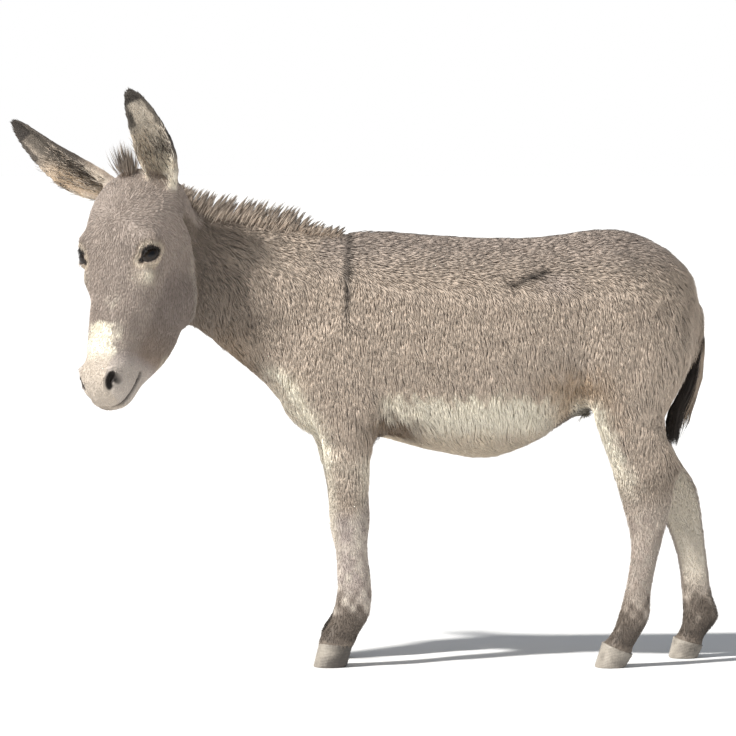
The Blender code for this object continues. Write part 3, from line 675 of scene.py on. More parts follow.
def give_values(mesh, values):
    """Stores named values on the corners of a mesh for its material to read."""
    for name, amounts in values.items():
        stored = mesh.attributes.new(name, "FLOAT", "POINT")
        stored.data.foreach_set("value", np.asarray(amounts, np.float32))


skin_marks = markings(skin_points, skin_normals, belongs, ear_is_left)
# The hollows of the nostrils are painted near black: partly dark skin, partly painted shade.
skin_marks["dark"] = np.maximum(skin_marks["dark"], nostrils)
give_values(skin_mesh, skin_marks)


# ---- coat colours ------------------------------------------------------------------------
# One set of hair colours, shared by the skin, the tufts, the mane and the tail.  Painted shade
# darkens hair towards its root and the skin between the locks, and no two locks are quite the same
# shade.
GROUND = (0.64, 0.53, 0.43)
MARK_COLOURS = {
    "brown": (0.27, 0.215, 0.17),
    "tan": (0.52, 0.35, 0.20),
    "grey": (0.47, 0.40, 0.385),
    "pale": (0.97, 0.90, 0.75),
    "dark": (0.030, 0.024, 0.021),
}
MOTTLE_SCALE = 26.0
# Cream hair takes less of the painted root shade.
PALE_ROOT_SHADE_CUT = 0.7                    # share of the root shade that cream hair loses


def add_node(tree, kind, feeds=(), **settings):
    """A shader node; feeds gives each input a value or the output that it comes from."""
    made = tree.nodes.new(kind)
    for name, value in settings.items():
        setattr(made, name, value)
    for name, fed in dict(feeds).items():
        if isinstance(fed, bpy.types.NodeSocket):
            tree.links.new(fed, made.inputs[name])
        else:
            made.inputs[name].default_value = fed
    return made


def mixed(tree, amount, first, second):
    """A colour between two others."""
    feeds = {"Factor": amount, 6: first, 7: second}
    return add_node(tree, "ShaderNodeMix", feeds, data_type="RGBA").outputs[2]


def maths(tree, operation, *values):
    """The result of one sum on values or outputs."""
    return add_node(tree, "ShaderNodeMath", enumerate(values), operation=operation).outputs[0]


def coat_group():
    """Lays the markings over the ground colour, then paints shade towards the roots and mottles it
    all.
    """
    tree = bpy.data.node_groups.new("coat_colours", "ShaderNodeTree")
    marks = [mark.capitalize() for mark in MARK_COLOURS]
    for name in ["Ground"] + [mark + " colour" for mark in marks]:
        tree.interface.new_socket(name=name, in_out="INPUT", socket_type="NodeSocketColor")
    for name in marks + ["Along", "Tone", "Painted root shade", "Variation"]:
        tree.interface.new_socket(name=name, in_out="INPUT", socket_type="NodeSocketFloat")
    tree.interface.new_socket(name="Color", in_out="OUTPUT", socket_type="NodeSocketColor")
    given = add_node(tree, "NodeGroupInput").outputs
    colour = given["Ground"]
    for mark in marks:
        colour = mixed(tree, given[mark], colour, given[mark + " colour"])
    place = add_node(tree, "ShaderNodeTexCoord").outputs["Object"]
    mottle = {"Scale": MOTTLE_SCALE, "Detail": 3.0, "Vector": place}
    mottle = add_node(tree, "ShaderNodeTexNoise", mottle).outputs["Fac"]
    # Painted shade darkens hair towards its root, but cream hair is pale right down to its root and
    # takes less of it.
    root = maths(tree, "MULTIPLY", maths(tree, "SUBTRACT", 1.0, given["Along"]), given["Painted root shade"])
    root = maths(tree, "MULTIPLY", root, maths(tree, "MULTIPLY_ADD", given["Pale"], -PALE_ROOT_SHADE_CUT, 1.0))
    vary = maths(tree, "SUBTRACT", maths(tree, "ADD", given["Tone"], mottle), 1.0)
    vary = maths(tree, "MULTIPLY_ADD", vary, given["Variation"], 1.0)
    shade = maths(tree, "MULTIPLY", maths(tree, "SUBTRACT", 1.0, root), vary)
    shaded = add_node(tree, "ShaderNodeVectorMath", {0: colour, "Scale": shade}, operation="SCALE")
    add_node(tree, "NodeGroupOutput", {"Color": shaded.outputs["Vector"]})
    return tree


COAT_GROUP = coat_group()


def plain_material(name, roughness, specular):
    """An empty material with its surface shader; the caller links the colour."""
    material = bpy.data.materials.new(name)
    material.use_nodes = True
    shader = material.node_tree.nodes["Principled BSDF"]
    shader.inputs["Roughness"].default_value = roughness
    shader.inputs["Specular IOR Level"].default_value = specular
    return material, material.node_tree, shader


def stored(tree, name):
    """A value kept on the corners of the mesh."""
    return add_node(tree, "ShaderNodeAttribute", attribute_name=name).outputs["Fac"]


def coat_material(name, roughness, specular, painted_root_shade, variation, hairs=True):
    """Coat colours on a surface shader, with painted shade towards the hair's root.  The skin has no
    values along a hair, so it takes the whole painted root shade, as shadow between the locks.
    """
    material, tree, shader = plain_material(name, roughness, specular)
    feeds = {"Ground": (*GROUND, 1.0), "Painted root shade": painted_root_shade, "Variation": variation}
    for mark, colour in MARK_COLOURS.items():
        feeds[mark.capitalize()] = stored(tree, mark)
        feeds[mark.capitalize() + " colour"] = (*colour, 1.0)
    feeds["Along"] = stored(tree, "along") if hairs else 0.0
    feeds["Tone"] = stored(tree, "tone") if hairs else 0.5
    coat = add_node(tree, "ShaderNodeGroup", feeds, node_tree=COAT_GROUP, name="coat")
    tree.links.new(coat.outputs["Color"], shader.inputs["Base Color"])
    return material, tree, shader


def bumped(tree, shader, height, strength, distance):
    """Fine relief on a surface shader."""
    feeds = {"Strength": strength, "Distance": distance, "Height": height}
    relief = add_node(tree, "ShaderNodeBump", feeds)
    tree.links.new(relief.outputs["Normal"], shader.inputs["Normal"])


# The skin gets the painted root shade in full, as shadow under and between the locks.
skin_material, tree, shader = coat_material("skin", 0.62, 0.30, 0.32, 0.35, hairs=False)
where = add_node(tree, "ShaderNodeTexCoord").outputs["Object"]
pores = add_node(tree, "ShaderNodeTexNoise", {"Scale": 900.0, "Detail": 4.0, "Vector": where})
bumped(tree, shader, pores.outputs["Fac"], 0.35, 0.0008)
skin_mesh.materials.clear()
skin_mesh.materials.append(skin_material)
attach(skin, "root")
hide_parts(*HIDE)


# ---- the coat's tufts --------------------------------------------------------------------
# Short winter hair in small pointed locks.  It lies back along the spine, falls down the
# sides and legs, and spreads over the face from a whorl on the forehead.
TUFT_SIDES = 3
TUFT_PATCH = 0.003                  # size of a lock's patch on the colour map


def new_object(name, mesh, material):
    """Puts a mesh with one material into the scene."""
    mesh.materials.clear()
    mesh.materials.append(material)
    made = bpy.data.objects.new(name, mesh)
    bpy.context.scene.collection.objects.link(made)
    return made


def hair_mesh(name, paths, widths, sideways, flatness, values, roots_uv):
    """Closed three-sided locks, pointed at both ends.  paths is lock by station by xyz."""
    count, stations, _ = paths.shape
    rings = stations - 2
    widths = np.broadcast_to(widths, (count, rings))
    each = rings * TUFT_SIDES + 2
    runs = np.diff(paths, axis=1)
    ring_points = np.empty((count, rings, TUFT_SIDES, 3))
    for ring in range(rings):
        way = unit(runs[:, ring] + runs[:, ring + 1])
        side = unit(sideways - way * (sideways * way).sum(1, keepdims=True))
        over = np.cross(way, side)
        for corner in range(TUFT_SIDES):
            turn = 2 * math.pi * corner / TUFT_SIDES - math.pi / 6
            offset = side * math.cos(turn) + over * (math.sin(turn) * flatness)
            ring_points[:, ring, corner] = paths[:, ring + 1] + offset * widths[:, ring, None] / 2
    points = np.concatenate([paths[:, :1], ring_points.reshape(count, -1, 3), paths[:, -1:]], 1)
    last = 1 + (rings - 1) * TUFT_SIDES
    faces = []
    for corner in range(TUFT_SIDES):
        after = (corner + 1) % TUFT_SIDES
        faces.append((0, 1 + after, 1 + corner))
        faces.append((last + corner, last + after, each - 1))
        for ring in range(rings - 1):
            a, b = 1 + ring * TUFT_SIDES + corner, 1 + ring * TUFT_SIDES + after
            faces.append((a, b, b + TUFT_SIDES))
            faces.append((a, b + TUFT_SIDES, a + TUFT_SIDES))
    corners = (np.array(faces)[None] + (np.arange(count) * each)[:, None, None]).reshape(-1)
    mesh = bpy.data.meshes.new(name)
    mesh.vertices.add(count * each)
    mesh.vertices.foreach_set("co", points.astype(np.float32).ravel())
    mesh.loops.add(len(corners))
    mesh.loops.foreach_set("vertex_index", corners.astype(np.int32))
    total = len(corners) // 3
    mesh.polygons.add(total)
    mesh.polygons.foreach_set("loop_start", np.arange(total, dtype=np.int32) * 3)
    mesh.update(calc_edges=True)
    mesh.shade_smooth()
    ring_levels = np.repeat((np.arange(rings) + 1) / (stations - 1), TUFT_SIDES)
    level = np.concatenate([[0.0], ring_levels, [1.0]])
    give_values(mesh, {"along": np.tile(level, count)})
    give_values(mesh, {key: np.repeat(v, each) for key, v in values.items()})
    across = np.concatenate([[0.0], np.tile((-0.5, 0.5, 0.0), rings), [0.0]])
    local = np.stack([across, level - 0.5], 1) * TUFT_PATCH
    spread = (roots_uv[:, None] + local[None]).reshape(-1, 2)
    layer = mesh.uv_layers.new(name="OFBake")
    layer.data.foreach_set("uv", spread[corners].astype(np.float32).ravel())
    return mesh


WHORL_DOWN, WHORL_FORWARD = 0.075, 0.07


def whorl_distance(down, forward, sideways):
    """How far a place on the head is from the whorl on the forehead."""
    return np.hypot(down - WHORL_DOWN, sideways) + np.abs(forward - WHORL_FORWARD) * 0.3


def face_flow(points):
    """The hair's lie on the head: out from the whorl, then down the nose and cheeks."""
    down, forward, sideways = head_measures(points)
    from_whorl = down - WHORL_DOWN
    front = rise(forward, -0.02, 0.05)
    lengthwise = front * from_whorl + (1 - front) * np.maximum(from_whorl, 0.06)
    lengthwise = np.clip(lengthwise * 9, -1.2, 1.2) + 0.5 * rise(down, 0.09, 0.16)
    outward = sideways * 7 * (1 - 0.85 * rise(down, 0.11, 0.26))
    backward = (1 - front) * 0.75 * rise(down, 0.36, 0.2)
    return DOWN * lengthwise[:, None] + LEFT * outward[:, None] - FACE * backward[:, None]


def lie_of_coat(points, normals, share, left_ear):
    """The way that hair points at each place, along the skin."""
    x, _, z = points.T
    part = dict(zip(AREAS, share.T))
    ones = np.ones(len(points))
    fall = rise(z, 0.925 + 0.04 * rise(x, 0.10, -0.05), 0.80 + 0.04 * rise(x, 0.10, -0.05))
    rump = rise(x, 0.50, 0.70)
    back = (1 - fall) * (1 - 0.45 * rump) + 0.14 * fall
    drop = (1 - fall) * (0.14 + 0.55 * rump) + fall
    under = rise(-normals[:, 2], 0.55, 0.95)
    trunk = np.stack([back + 0.9 * under, 0 * ones, -drop], 1)
    crest = rise(z, 0.80, 0.98)
    neck = np.stack([0.30 + 0.55 * crest, 0 * ones, -0.95 + 0.35 * crest], 1)
    legs = np.stack([0.10 * ones, 0 * ones, -ones], 1)
    flow = trunk * part["trunk"][:, None] + neck * part["neck"][:, None]
    flow += legs * (part["fore"] + part["hind"] + part["dock"] + part["hoof"])[:, None]
    flow += face_flow(points) * part["head"][:, None]
    for side in EAR_LEAF:
        axis = ear_measures(points[:1], side)[4]
        ear = part["ear"] * on_ear(left_ear, side)
        flow += axis * 1.5 * ear[:, None]
    flow -= normals * (flow * normals).sum(1, keepdims=True)
    return unit(flow)


skin_mesh.calc_loop_triangles()
triangles = rows_of(skin_mesh.loop_triangles, "vertices", 3, np.int32)
triangle_loops = rows_of(skin_mesh.loop_triangles, "loops", 3, np.int32)
skin_uv = rows_of(skin_mesh.uv_layers["OFBake"].data, "uv", 2)

# Locks per square metre, their length and width, their waviness and how far they clump.
COAT = {
    "trunk": (66000, 0.0320, 0.0024, 0.15, 0.20),
    "neck": (66000, 0.0310, 0.0024, 0.20, 0.24),
    "head": (84000, 0.0130, 0.0020, 0.14, 0.25),
    "fore": (70000, 0.0165, 0.0021, 0.16, 0.26),
    "hind": (70000, 0.0175, 0.0021, 0.16, 0.26),
    "ear": (110000, 0.0105, 0.0015, 0.22, 0.15),
    "dock": (80000, 0.0180, 0.0022, 0.15, 0.2),
    "hoof": (0, 0.0080, 0.0012, 0.0, 0.0),
}
COAT_COLUMNS = [np.array([COAT[area][k] for area in AREAS]) for k in range(5)]
LEADING_SHARE = 1 / 7               # of the locks, which the others lean to
TUFT_FLATNESS = 0.38
coat_rng = np.random.default_rng(11)


def scattered():
    """Roots spread evenly over the skin, with all that is known of the skin there."""
    a, b, c = (skin_points[triangles[:, k]] for k in range(3))
    size = np.linalg.norm(np.cross(b - a, c - a), axis=1) / 2
    share = belongs[triangles].mean(1)
    middle = (a + b + c) / 3
    density = share @ COAT_COLUMNS[0]
    down, forward, sideways = head_measures(middle)
    at_whorl = whorl_distance(down, forward, sideways)
    density *= 1 + 2.0 * share[:, AREAS.index("head")] * rise(at_whorl, 0.030, 0.010)
    density *= 1 + 0.4 * share[:, AREAS.index("head")] * rise(down, 0.30, 0.42)
    # No hair grows on the eyes, between the lips or in the nostrils.
    for side in eye_at:
        _, _, out, gap = eye_measures(middle, side)
        at_eye = np.linalg.norm(middle - eye_at[side], axis=1) < eye_radius + 0.02
        density[at_eye & (gap < 0.0022) & (out > -0.002)] = 0
    slit = from_mouth(down, forward)
    density[(down > MOUTH_CORNER) & (np.abs(slit) < 0.0022) & (np.abs(sideways) < 0.1)] = 0
    density[nostrils[triangles].max(1) > 0.02] = 0
    number = np.floor(size * density + coat_rng.random(len(size))).astype(int)
    chosen = np.repeat(np.arange(len(size)), number)
    r1, r2 = np.sqrt(coat_rng.random(len(chosen))), coat_rng.random(len(chosen))
    weights = np.stack([1 - r1, r1 * (1 - r2), r1 * r2], 1)[:, :, None]

    def at_roots(values):
        """A vertex's values, read at each root within its triangle."""
        return (values[triangles[chosen]] * weights).sum(1)

    return {
        "point": at_roots(skin_points),
        "normal": unit(at_roots(skin_normals)),
        "share": at_roots(belongs),
        "coat_share": at_roots(coat_share),
        "left_ear": ear_is_left[triangles[chosen, 0]],
        "uv": (skin_uv[triangle_loops[chosen]] * weights).sum(1),
    }


roots = scattered()
point, normal, share = roots["point"], roots["normal"], roots["share"]
part = dict(zip(AREAS, share.T))
lie = lie_of_coat(point, normal, share, roots["left_ear"])
furred = roots["coat_share"]
length, width, wave, clump = (furred @ column for column in COAT_COLUMNS[1:])
down, forward, sideways = head_measures(point)
# The coat is short on the muzzle, round the eyes and below the knee, and long on the belly.
muzzle = part["head"] * rise(down, 0.30, 0.40)
eye_gap = np.minimum(*(np.linalg.norm(point - eye_at[s], axis=1) for s in eye_at))
length *= 1 - 0.55 * muzzle
length *= 1 - 0.45 * part["head"] * rise(eye_gap, 0.045, 0.022)
length *= 1 + 0.35 * part["trunk"] * rise(point[:, 2], 0.62, 0.52)
below_knee = (part["fore"] + part["hind"]) * rise(point[:, 2], 0.44, 0.28)
length *= 1 - 0.42 * below_knee
length *= coat_rng.uniform(0.72, 1.22, len(length))
width *= coat_rng.uniform(0.75, 1.25, len(width)) * (1 - 0.28 * below_knee)
# The locks wander in slow waves, and turn every way at the whorl.
swirl = wave * (0.9 * ripple(point, 0.055, 21) + 0.5 * ripple(point, 0.022, 22))
swirl += coat_rng.normal(0, 0.10, len(swirl))
at_whorl = whorl_distance(down, forward, sideways)
swirl += part["head"] * rise(at_whorl, 0.026, 0.008) * coat_rng.normal(0, 1.2, len(swirl))
beside = np.cross(normal, lie)
lie = unit(lie * np.cos(swirl)[:, None] + beside * np.sin(swirl)[:, None])
beside = np.cross(normal, lie)
stand = coat_depth(point, furred) * coat_rng.uniform(0.42, 0.72, len(length))
tip = point + lie * length[:, None] + normal * stand[:, None]

# Locks gather towards the tip of the nearest leading lock.
leaders = np.flatnonzero(coat_rng.random(len(point)) < LEADING_SHARE)
tree_of_leaders = KDTree(len(leaders))
for order, index in enumerate(leaders):
    tree_of_leaders.insert(Vector(point[index]), order)
tree_of_leaders.balance()
follows = leaders[[tree_of_leaders.find(Vector(p))[1] for p in point]]
gather = np.clip((tip[follows] - tip) * clump[:, None], -0.007, 0.007)
tip += gather
middle = point + lie * (length * 0.45)[:, None] + normal * (stand * 0.74)[:, None] + gather * 0.3
sunk = point - normal * 0.0015 - lie * 0.002
tone = 0.5 + 0.5 * np.clip(0.55 * coat_rng.normal(0, 0.5, len(point))
                           + 0.45 * coat_rng.normal(0, 0.6, len(point))[follows], -1, 1)
lock_values = markings(point + lie * (length * 0.5)[:, None], normal, share, roots["left_ear"])
lock_values["tone"] = tone

# The coat is in pieces by part of the body, and each trunk or leg piece is a left or a right.
coat_shader, tree, shader = coat_material("coat_hair", 0.70, 0.22, 0.20, 0.34)
shader.inputs["Sheen Weight"].default_value = 0.12
shader.inputs["Sheen Roughness"].default_value = 0.4

x, y, z = point.T
left_half = y < spine_y
dominant = share.argmax(1)
is_area = {name: dominant == AREAS.index(name) for name in AREAS}
legs_here = is_area["fore"] | is_area["hind"] | is_area["hoof"] | is_area["dock"]
bands = {
    "shoulder": is_area["trunk"] & (x < 0.10),
    "barrel": is_area["trunk"] & (x >= 0.10) & (x < 0.36),
    "quarter": is_area["trunk"] & (x >= 0.36),
    "neck": is_area["neck"],
}
bands["legs_fore"] = legs_here & (x < 0.2)
bands["legs_hind"] = legs_here & (x >= 0.2)
pieces = {}
for name, chosen in bands.items():
    pieces[f"coat_{name}_left"] = chosen & left_half
    pieces[f"coat_{name}_right"] = chosen & ~left_half
pieces["coat_head_left"] = is_area["head"] & (sideways > 0)
pieces["coat_head_right"] = is_area["head"] & (sideways <= 0)
for side in EAR_LEAF:
    pieces["coat_ear_" + side] = is_area["ear"] & on_ear(roots["left_ear"], side)
paths = np.stack([sunk, middle, tip], 1)
for name, chosen in pieces.items():
    mesh = hair_mesh(name, paths[chosen], width[chosen, None], beside[chosen], TUFT_FLATNESS,
                     {key: v[chosen] for key, v in lock_values.items()}, roots["uv"][chosen])
    coat = new_object(name, mesh, coat_shader)
    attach(coat, "root")


# Long soft hair fills each ear's mouth, cream at the base with a few dark threads.
EAR_HAIRS = 760
EAR_HAIR_WIDTHS = (0.0012, 0.0009)
ear_rng = np.random.default_rng(25)
for side in EAR_LEAF:
    spots = np.flatnonzero(is_area["ear"] & on_ear(roots["left_ear"], side))
    upward, _, _, cup, axis = ear_measures(point[spots], side)
    in_cup = (normal[spots] @ cup > 0.25) & (upward > 0.0) & (upward < 0.62)
    spots, upward = spots[in_cup], upward[in_cup]
    odds = np.clip(1.1 - 1.5 * upward, 0.08, 1)
    picked = ear_rng.choice(len(spots), EAR_HAIRS, replace=False, p=odds / odds.sum())
    spots, upward = spots[picked], upward[picked]
    way = unit(axis * 0.9 + cup * 0.35 + ear_rng.normal(0, 0.16, (EAR_HAIRS, 3)))
    long = (0.034 - 0.028 * upward) * ear_rng.uniform(0.6, 1.1, EAR_HAIRS)
    start = point[spots]
    paths = np.stack([start, start + way * (long * 0.35)[:, None] + cup * 0.002,
                      start + way * (long * 0.72)[:, None] + cup * 0.002,
                      start + way * long[:, None]], 1)
    marks = no_marks(EAR_HAIRS)
    threads_dark = ear_rng.random(EAR_HAIRS) < 0.18 + 0.5 * bump(upward, 0.33, 0.12)
    marks["dark"] = np.where(threads_dark, 0.85, 0.0)
    marks["pale"] = np.where(threads_dark, 0.0, 0.90 - 0.8 * upward)
    marks["pale"] *= 1.0 if side == "left" else 0.3
    marks["tone"] = ear_rng.uniform(0.2, 0.9, EAR_HAIRS)
    mesh = hair_mesh("ear_hair_" + side, paths, EAR_HAIR_WIDTHS, beside[spots], 0.7, marks,
                     roots["uv"][spots])
    hairs = new_object("ear_hair_" + side, mesh, coat_shader)
    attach(hairs, "root")


# ---- eyes ----------------------------------------------------------------------------------
# Wet dark balls with a brown iris and a level, oval pupil, such as are blown in glass for a
# museum's mount.  They sit in the sockets behind the lids, and look where the head points.
PUPIL = (0.0092, 0.0058)            # half length and half height
IRIS = (0.0155, 0.0155)
IRIS_DARK, IRIS_LIGHT = (0.006, 0.004, 0.003), (0.026, 0.015, 0.008)
PUPIL_COLOUR, WHITE_COLOUR = (0.002, 0.002, 0.003, 1), (0.020, 0.015, 0.012, 1)
eye_material, tree, shader = plain_material("eye", 0.20, 0.35)
where = add_node(tree, "ShaderNodeTexCoord").outputs["Object"]


def ramp(tree, value, *stops):
    """A colour that runs from stop to stop, each a place and a colour."""
    made = add_node(tree, "ShaderNodeValToRGB", {"Fac": value})
    for element, (place, colour) in zip(made.color_ramp.elements, stops):
        element.position = place
        element.color = (*colour, 1)
    return made.outputs["Color"]


def past_oval(half_sizes, low, high):
    """0 within an oval on the eye's front and 1 beyond it, with a soft edge."""
    scale = (1 / half_sizes[0], 1 / half_sizes[1], 0.0)
    flat = add_node(tree, "ShaderNodeVectorMath", {0: where, 1: scale}, operation="MULTIPLY")
    far = add_node(tree, "ShaderNodeVectorMath", {0: flat.outputs["Vector"]}, operation="LENGTH")
    feeds = {"Value": far.outputs["Value"], "From Min": low, "From Max": high}
    return add_node(tree, "ShaderNodeMapRange", feeds).outputs["Result"]


threads = add_node(tree, "ShaderNodeTexNoise", {"Scale": 420.0, "Detail": 3.0, "Vector": where})
iris = ramp(tree, threads.outputs["Fac"], (0.0, IRIS_DARK), (1.0, IRIS_LIGHT))
colour = mixed(tree, past_oval(PUPIL, 0.9, 1.05), PUPIL_COLOUR, iris)
colour = mixed(tree, past_oval(IRIS, 0.92, 1.06), colour, WHITE_COLOUR)
tree.links.new(colour, shader.inputs["Base Color"])

for side, place in eye_at.items():
    bm = bmesh.new()
    bmesh.ops.create_uvsphere(bm, u_segments=56, v_segments=40, radius=eye_radius)
    for vertex in bm.verts:
        # The clear front stands a little proud of the ball.
        front = max(0.0, vertex.co.z / eye_radius)
        vertex.co *= 1 + 0.010 * front ** 6 - 0.012 * (1 - front)
    mesh = bpy.data.meshes.new("eyeball_" + side)
    bm.to_mesh(mesh)
    bm.free()
    mesh.shade_smooth()
    ball = new_object("eyeball_" + side, mesh, eye_material)
    slit, over, look = eye_axes(side)
    turn = Matrix(np.stack([slit, np.cross(look, slit), look], 1).tolist()).to_4x4()
    ball.matrix_world = Matrix.Translation(Vector(place)) @ turn
    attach(ball, "root")
    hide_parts("eye_" + side)

# Lashes stand along the upper lid.
LASHES, LASH_WIDTH = 110, 0.0009
lash_rng = np.random.default_rng(31)
for side, place in eye_at.items():
    slit, over, look = eye_axes(side)
    at = lash_rng.uniform(-0.86, 0.95, LASHES) * SLIT_HALF
    arch = UPPER_LID * (1 - (at / SLIT_HALF) ** 2) ** 0.75
    flat = slit * at[:, None] + over * (arch + 0.0012)[:, None]
    rim = np.sqrt(np.maximum((eye_radius + 0.002) ** 2 - (flat ** 2).sum(1), 0))
    start = place + flat + look * rim[:, None]
    long = lash_rng.uniform(0.006, 0.0115, LASHES)[:, None]
    out = unit(look * 0.8 + over * lash_rng.uniform(-0.5, 0.15, LASHES)[:, None]
               + slit * (at / SLIT_HALF * 0.7)[:, None])
    paths = np.stack([start - out * 0.002, start + out * long * 0.5 - over * long * 0.16,
                      start + out * long - over * long * 0.10], 1)
    marks = {**no_marks(LASHES), "dark": np.ones(LASHES)}
    marks["tone"] = lash_rng.uniform(0.2, 0.6, LASHES)
    patches = np.stack([at / SLIT_HALF * 0.4 + 0.5, np.full(LASHES, 0.5)], 1)
    mesh = hair_mesh("lashes_" + side, paths, LASH_WIDTH, slit, 1.0, marks, patches)
    lashes = new_object("lashes_" + side, mesh, coat_shader)
    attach(lashes, "root")


# ---- mane and forelock -----------------------------------------------------------------------
# Stiff upright hair, coat-coloured at the root and dark at the tip.  The mane runs from the
# poll to the withers, and the forelock fans up between the ears.
skin_tree = BVHTree.FromPolygons([tuple(p) for p in skin_points], triangles.tolist())


def spine_of(node, axis, steps=16):
    """The node's middle and half size in slices along an axis, as rows to read between."""
    spots = corners_of(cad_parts[node].data)
    low, high = spots[:, axis].min(), spots[:, axis].max()
    rows = []
    for k in range(steps + 1):
        at = low + (high - low) * k / steps
        near = spots[np.abs(spots[:, axis] - at) < (high - low) / steps * 1.3]
        lowest, highest = near.min(0), near.max(0)
        rows.append((at, *((lowest + highest) / 2), *((highest - lowest) / 2)))
    return np.array(rows)


def along_spine(rows, at, column):
    """A measure of the slices, read between them: 0 to 2 the middle, 3 to 5 the half size."""
    return np.interp(at, rows[:, 0], rows[:, 1 + column])


MANE_LOCKS, MANE_CLUMPS = 5200, 150
MANE_LEAST, MANE_MOST = 0.012, 0.085
# The mane grows shorter towards the withers.
MANE_LENGTHS = ((-0.28, 1.0), (-0.19, 0.92), (-0.14, 0.68), (-0.05, 0.60))
mane_rng = np.random.default_rng(41)
mane_rows = spine_of("mane", 0)
mane_x = np.sort(mane_rng.uniform(mane_rows[0, 0] + 0.004, mane_rows[-1, 0] - 0.006, MANE_LOCKS))
mane_y = along_spine(mane_rows, mane_x, 1) + mane_rng.normal(0, 0.0085, MANE_LOCKS)
mane_top = along_spine(mane_rows, mane_x, 2) + along_spine(mane_rows, mane_x, 5)
mane_root = np.array([
    skin_tree.ray_cast(Vector((a, b, 1.4)), Vector((0, 0, -1)))[0] or (a, b, 1.0)
    for a, b in zip(mane_x, mane_y)
])
tall = mane_top - mane_root[:, 2]
clump_x = np.sort(mane_rng.uniform(mane_x[0], mane_x[-1], MANE_CLUMPS))
clumps = np.abs(mane_x[:, None] - clump_x).argmin(1)
clump_height = mane_rng.uniform(0.72, 1.06, MANE_CLUMPS)[clumps]
clump_lean = mane_rng.uniform(0.40, 0.80, MANE_CLUMPS)[clumps]
tall = np.clip(tall, MANE_LEAST, MANE_MOST) * clump_height * mane_rng.uniform(0.50, 1.02, MANE_LOCKS)
splay = (mane_y - along_spine(mane_rows, mane_x, 1)) / 0.012
tall *= 1 - 0.28 * np.minimum(np.abs(splay), 1.6)
to_clump = np.clip(clump_x[clumps] - mane_x, -0.008, 0.008) * 0.28
lean = clump_lean * tall
tall *= np.interp(mane_x, *zip(*MANE_LENGTHS))
top_there = along_spine(mane_rows, mane_x + lean, 2) + along_spine(mane_rows, mane_x + lean, 5)
tall = np.minimum(tall, np.maximum(top_there + 0.001 - mane_root[:, 2], 0.010))
stations = []
for share_up in (-0.10, 0.25, 0.62, 1.0):
    # Each lock starts within the skin, leans back and bends more towards its tip.
    bend = share_up ** 2 * np.sign(share_up)
    stations.append(np.stack([
        mane_root[:, 0] + lean * (0.45 * share_up + 0.55 * bend) + to_clump * share_up,
        mane_root[:, 1] + splay * 0.007 * share_up,
        mane_root[:, 2] + tall * share_up,
    ], 1))
paths = np.stack(stations, 1)
thick = mane_rng.uniform(0.0013, 0.0024, MANE_LOCKS)
widths = thick[:, None] * np.array((1.0, 0.85))


def mane_values(count, rng, darkness):
    """Markings for a bundle of locks, each of its own darkness and shade."""
    marks = no_marks(count)
    marks["dark"] = rng.uniform(*darkness, count)
    marks["brown"] = rng.uniform(0.0, 0.22, count)
    return {**marks, "tone": rng.uniform(0.1, 0.9, count)}


def ordered_patches(count, columns=60):
    """A place on the map for each lock of a bundle, row by row along it."""
    order = np.arange(count)
    return np.stack([(order % columns + 0.5) / columns,
                     (order // columns + 0.5) / (count // columns + 1)], 1)


def tipped_material(name, dark_from, dark_to):
    """Hair that turns from the coat's colours at its root to dark at its tip."""
    material, tree, _ = coat_material(name, 0.62, 0.30, 0.15, 0.5)
    feeds = {"Value": stored(tree, "along"), "From Min": dark_from, "From Max": dark_to}
    tip = add_node(tree, "ShaderNodeMapRange", feeds, interpolation_type="SMOOTHSTEP")
    dark = maths(tree, "MULTIPLY", tip.outputs["Result"], stored(tree, "dark"))
    tree.links.new(dark, tree.nodes["coat"].inputs["Dark"])
    return material


mesh = hair_mesh("mane_hair", paths, widths, (1.0, 0.0, 0.3), 0.7,
                 mane_values(MANE_LOCKS, mane_rng, (0.0, 0.85)), ordered_patches(MANE_LOCKS))
mane = new_object("mane_hair", mesh, tipped_material("mane_hair", 0.45, 1.0))
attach(mane, "root")
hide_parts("mane")

FORELOCK_LOCKS = 280
root_middle = on_head(-0.030, 0.040, -0.006)
growth = on_head(-0.102, 0.096, -0.006) - root_middle
a = mane_rng.normal(0, 0.5, FORELOCK_LOCKS)
b = mane_rng.normal(0, 0.5, FORELOCK_LOCKS)
start = root_middle + LEFT * (a * 0.014)[:, None] + DOWN * (b * 0.018)[:, None]
start = np.array([skin_tree.find_nearest(Vector(p))[0] for p in start])
span = (mane_rng.uniform(0.35, 1.0, FORELOCK_LOCKS) * (1 - 0.25 * np.abs(a)))[:, None]
fan = LEFT * (a * 0.020)[:, None] + FACE * (b * 0.018)[:, None]
end = start + growth * span * 0.95 + fan
paths = np.stack([start - growth * 0.05, start + (end - start) * 0.4 + fan * 0.15,
                  start + (end - start) * 0.72 + fan * 0.1, end], 1)
thick = mane_rng.uniform(0.0009, 0.0017, FORELOCK_LOCKS)
mesh = hair_mesh("forelock_hair", paths, thick[:, None] * np.array((1.0, 0.75)), LEFT, 0.7,
                 mane_values(FORELOCK_LOCKS, mane_rng, (0.45, 1.0)),
                 ordered_patches(FORELOCK_LOCKS, 24))
forelock = new_object("forelock_hair", mesh, tipped_material("forelock_hair", 0.05, 0.55))
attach(forelock, "root")
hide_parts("forelock")


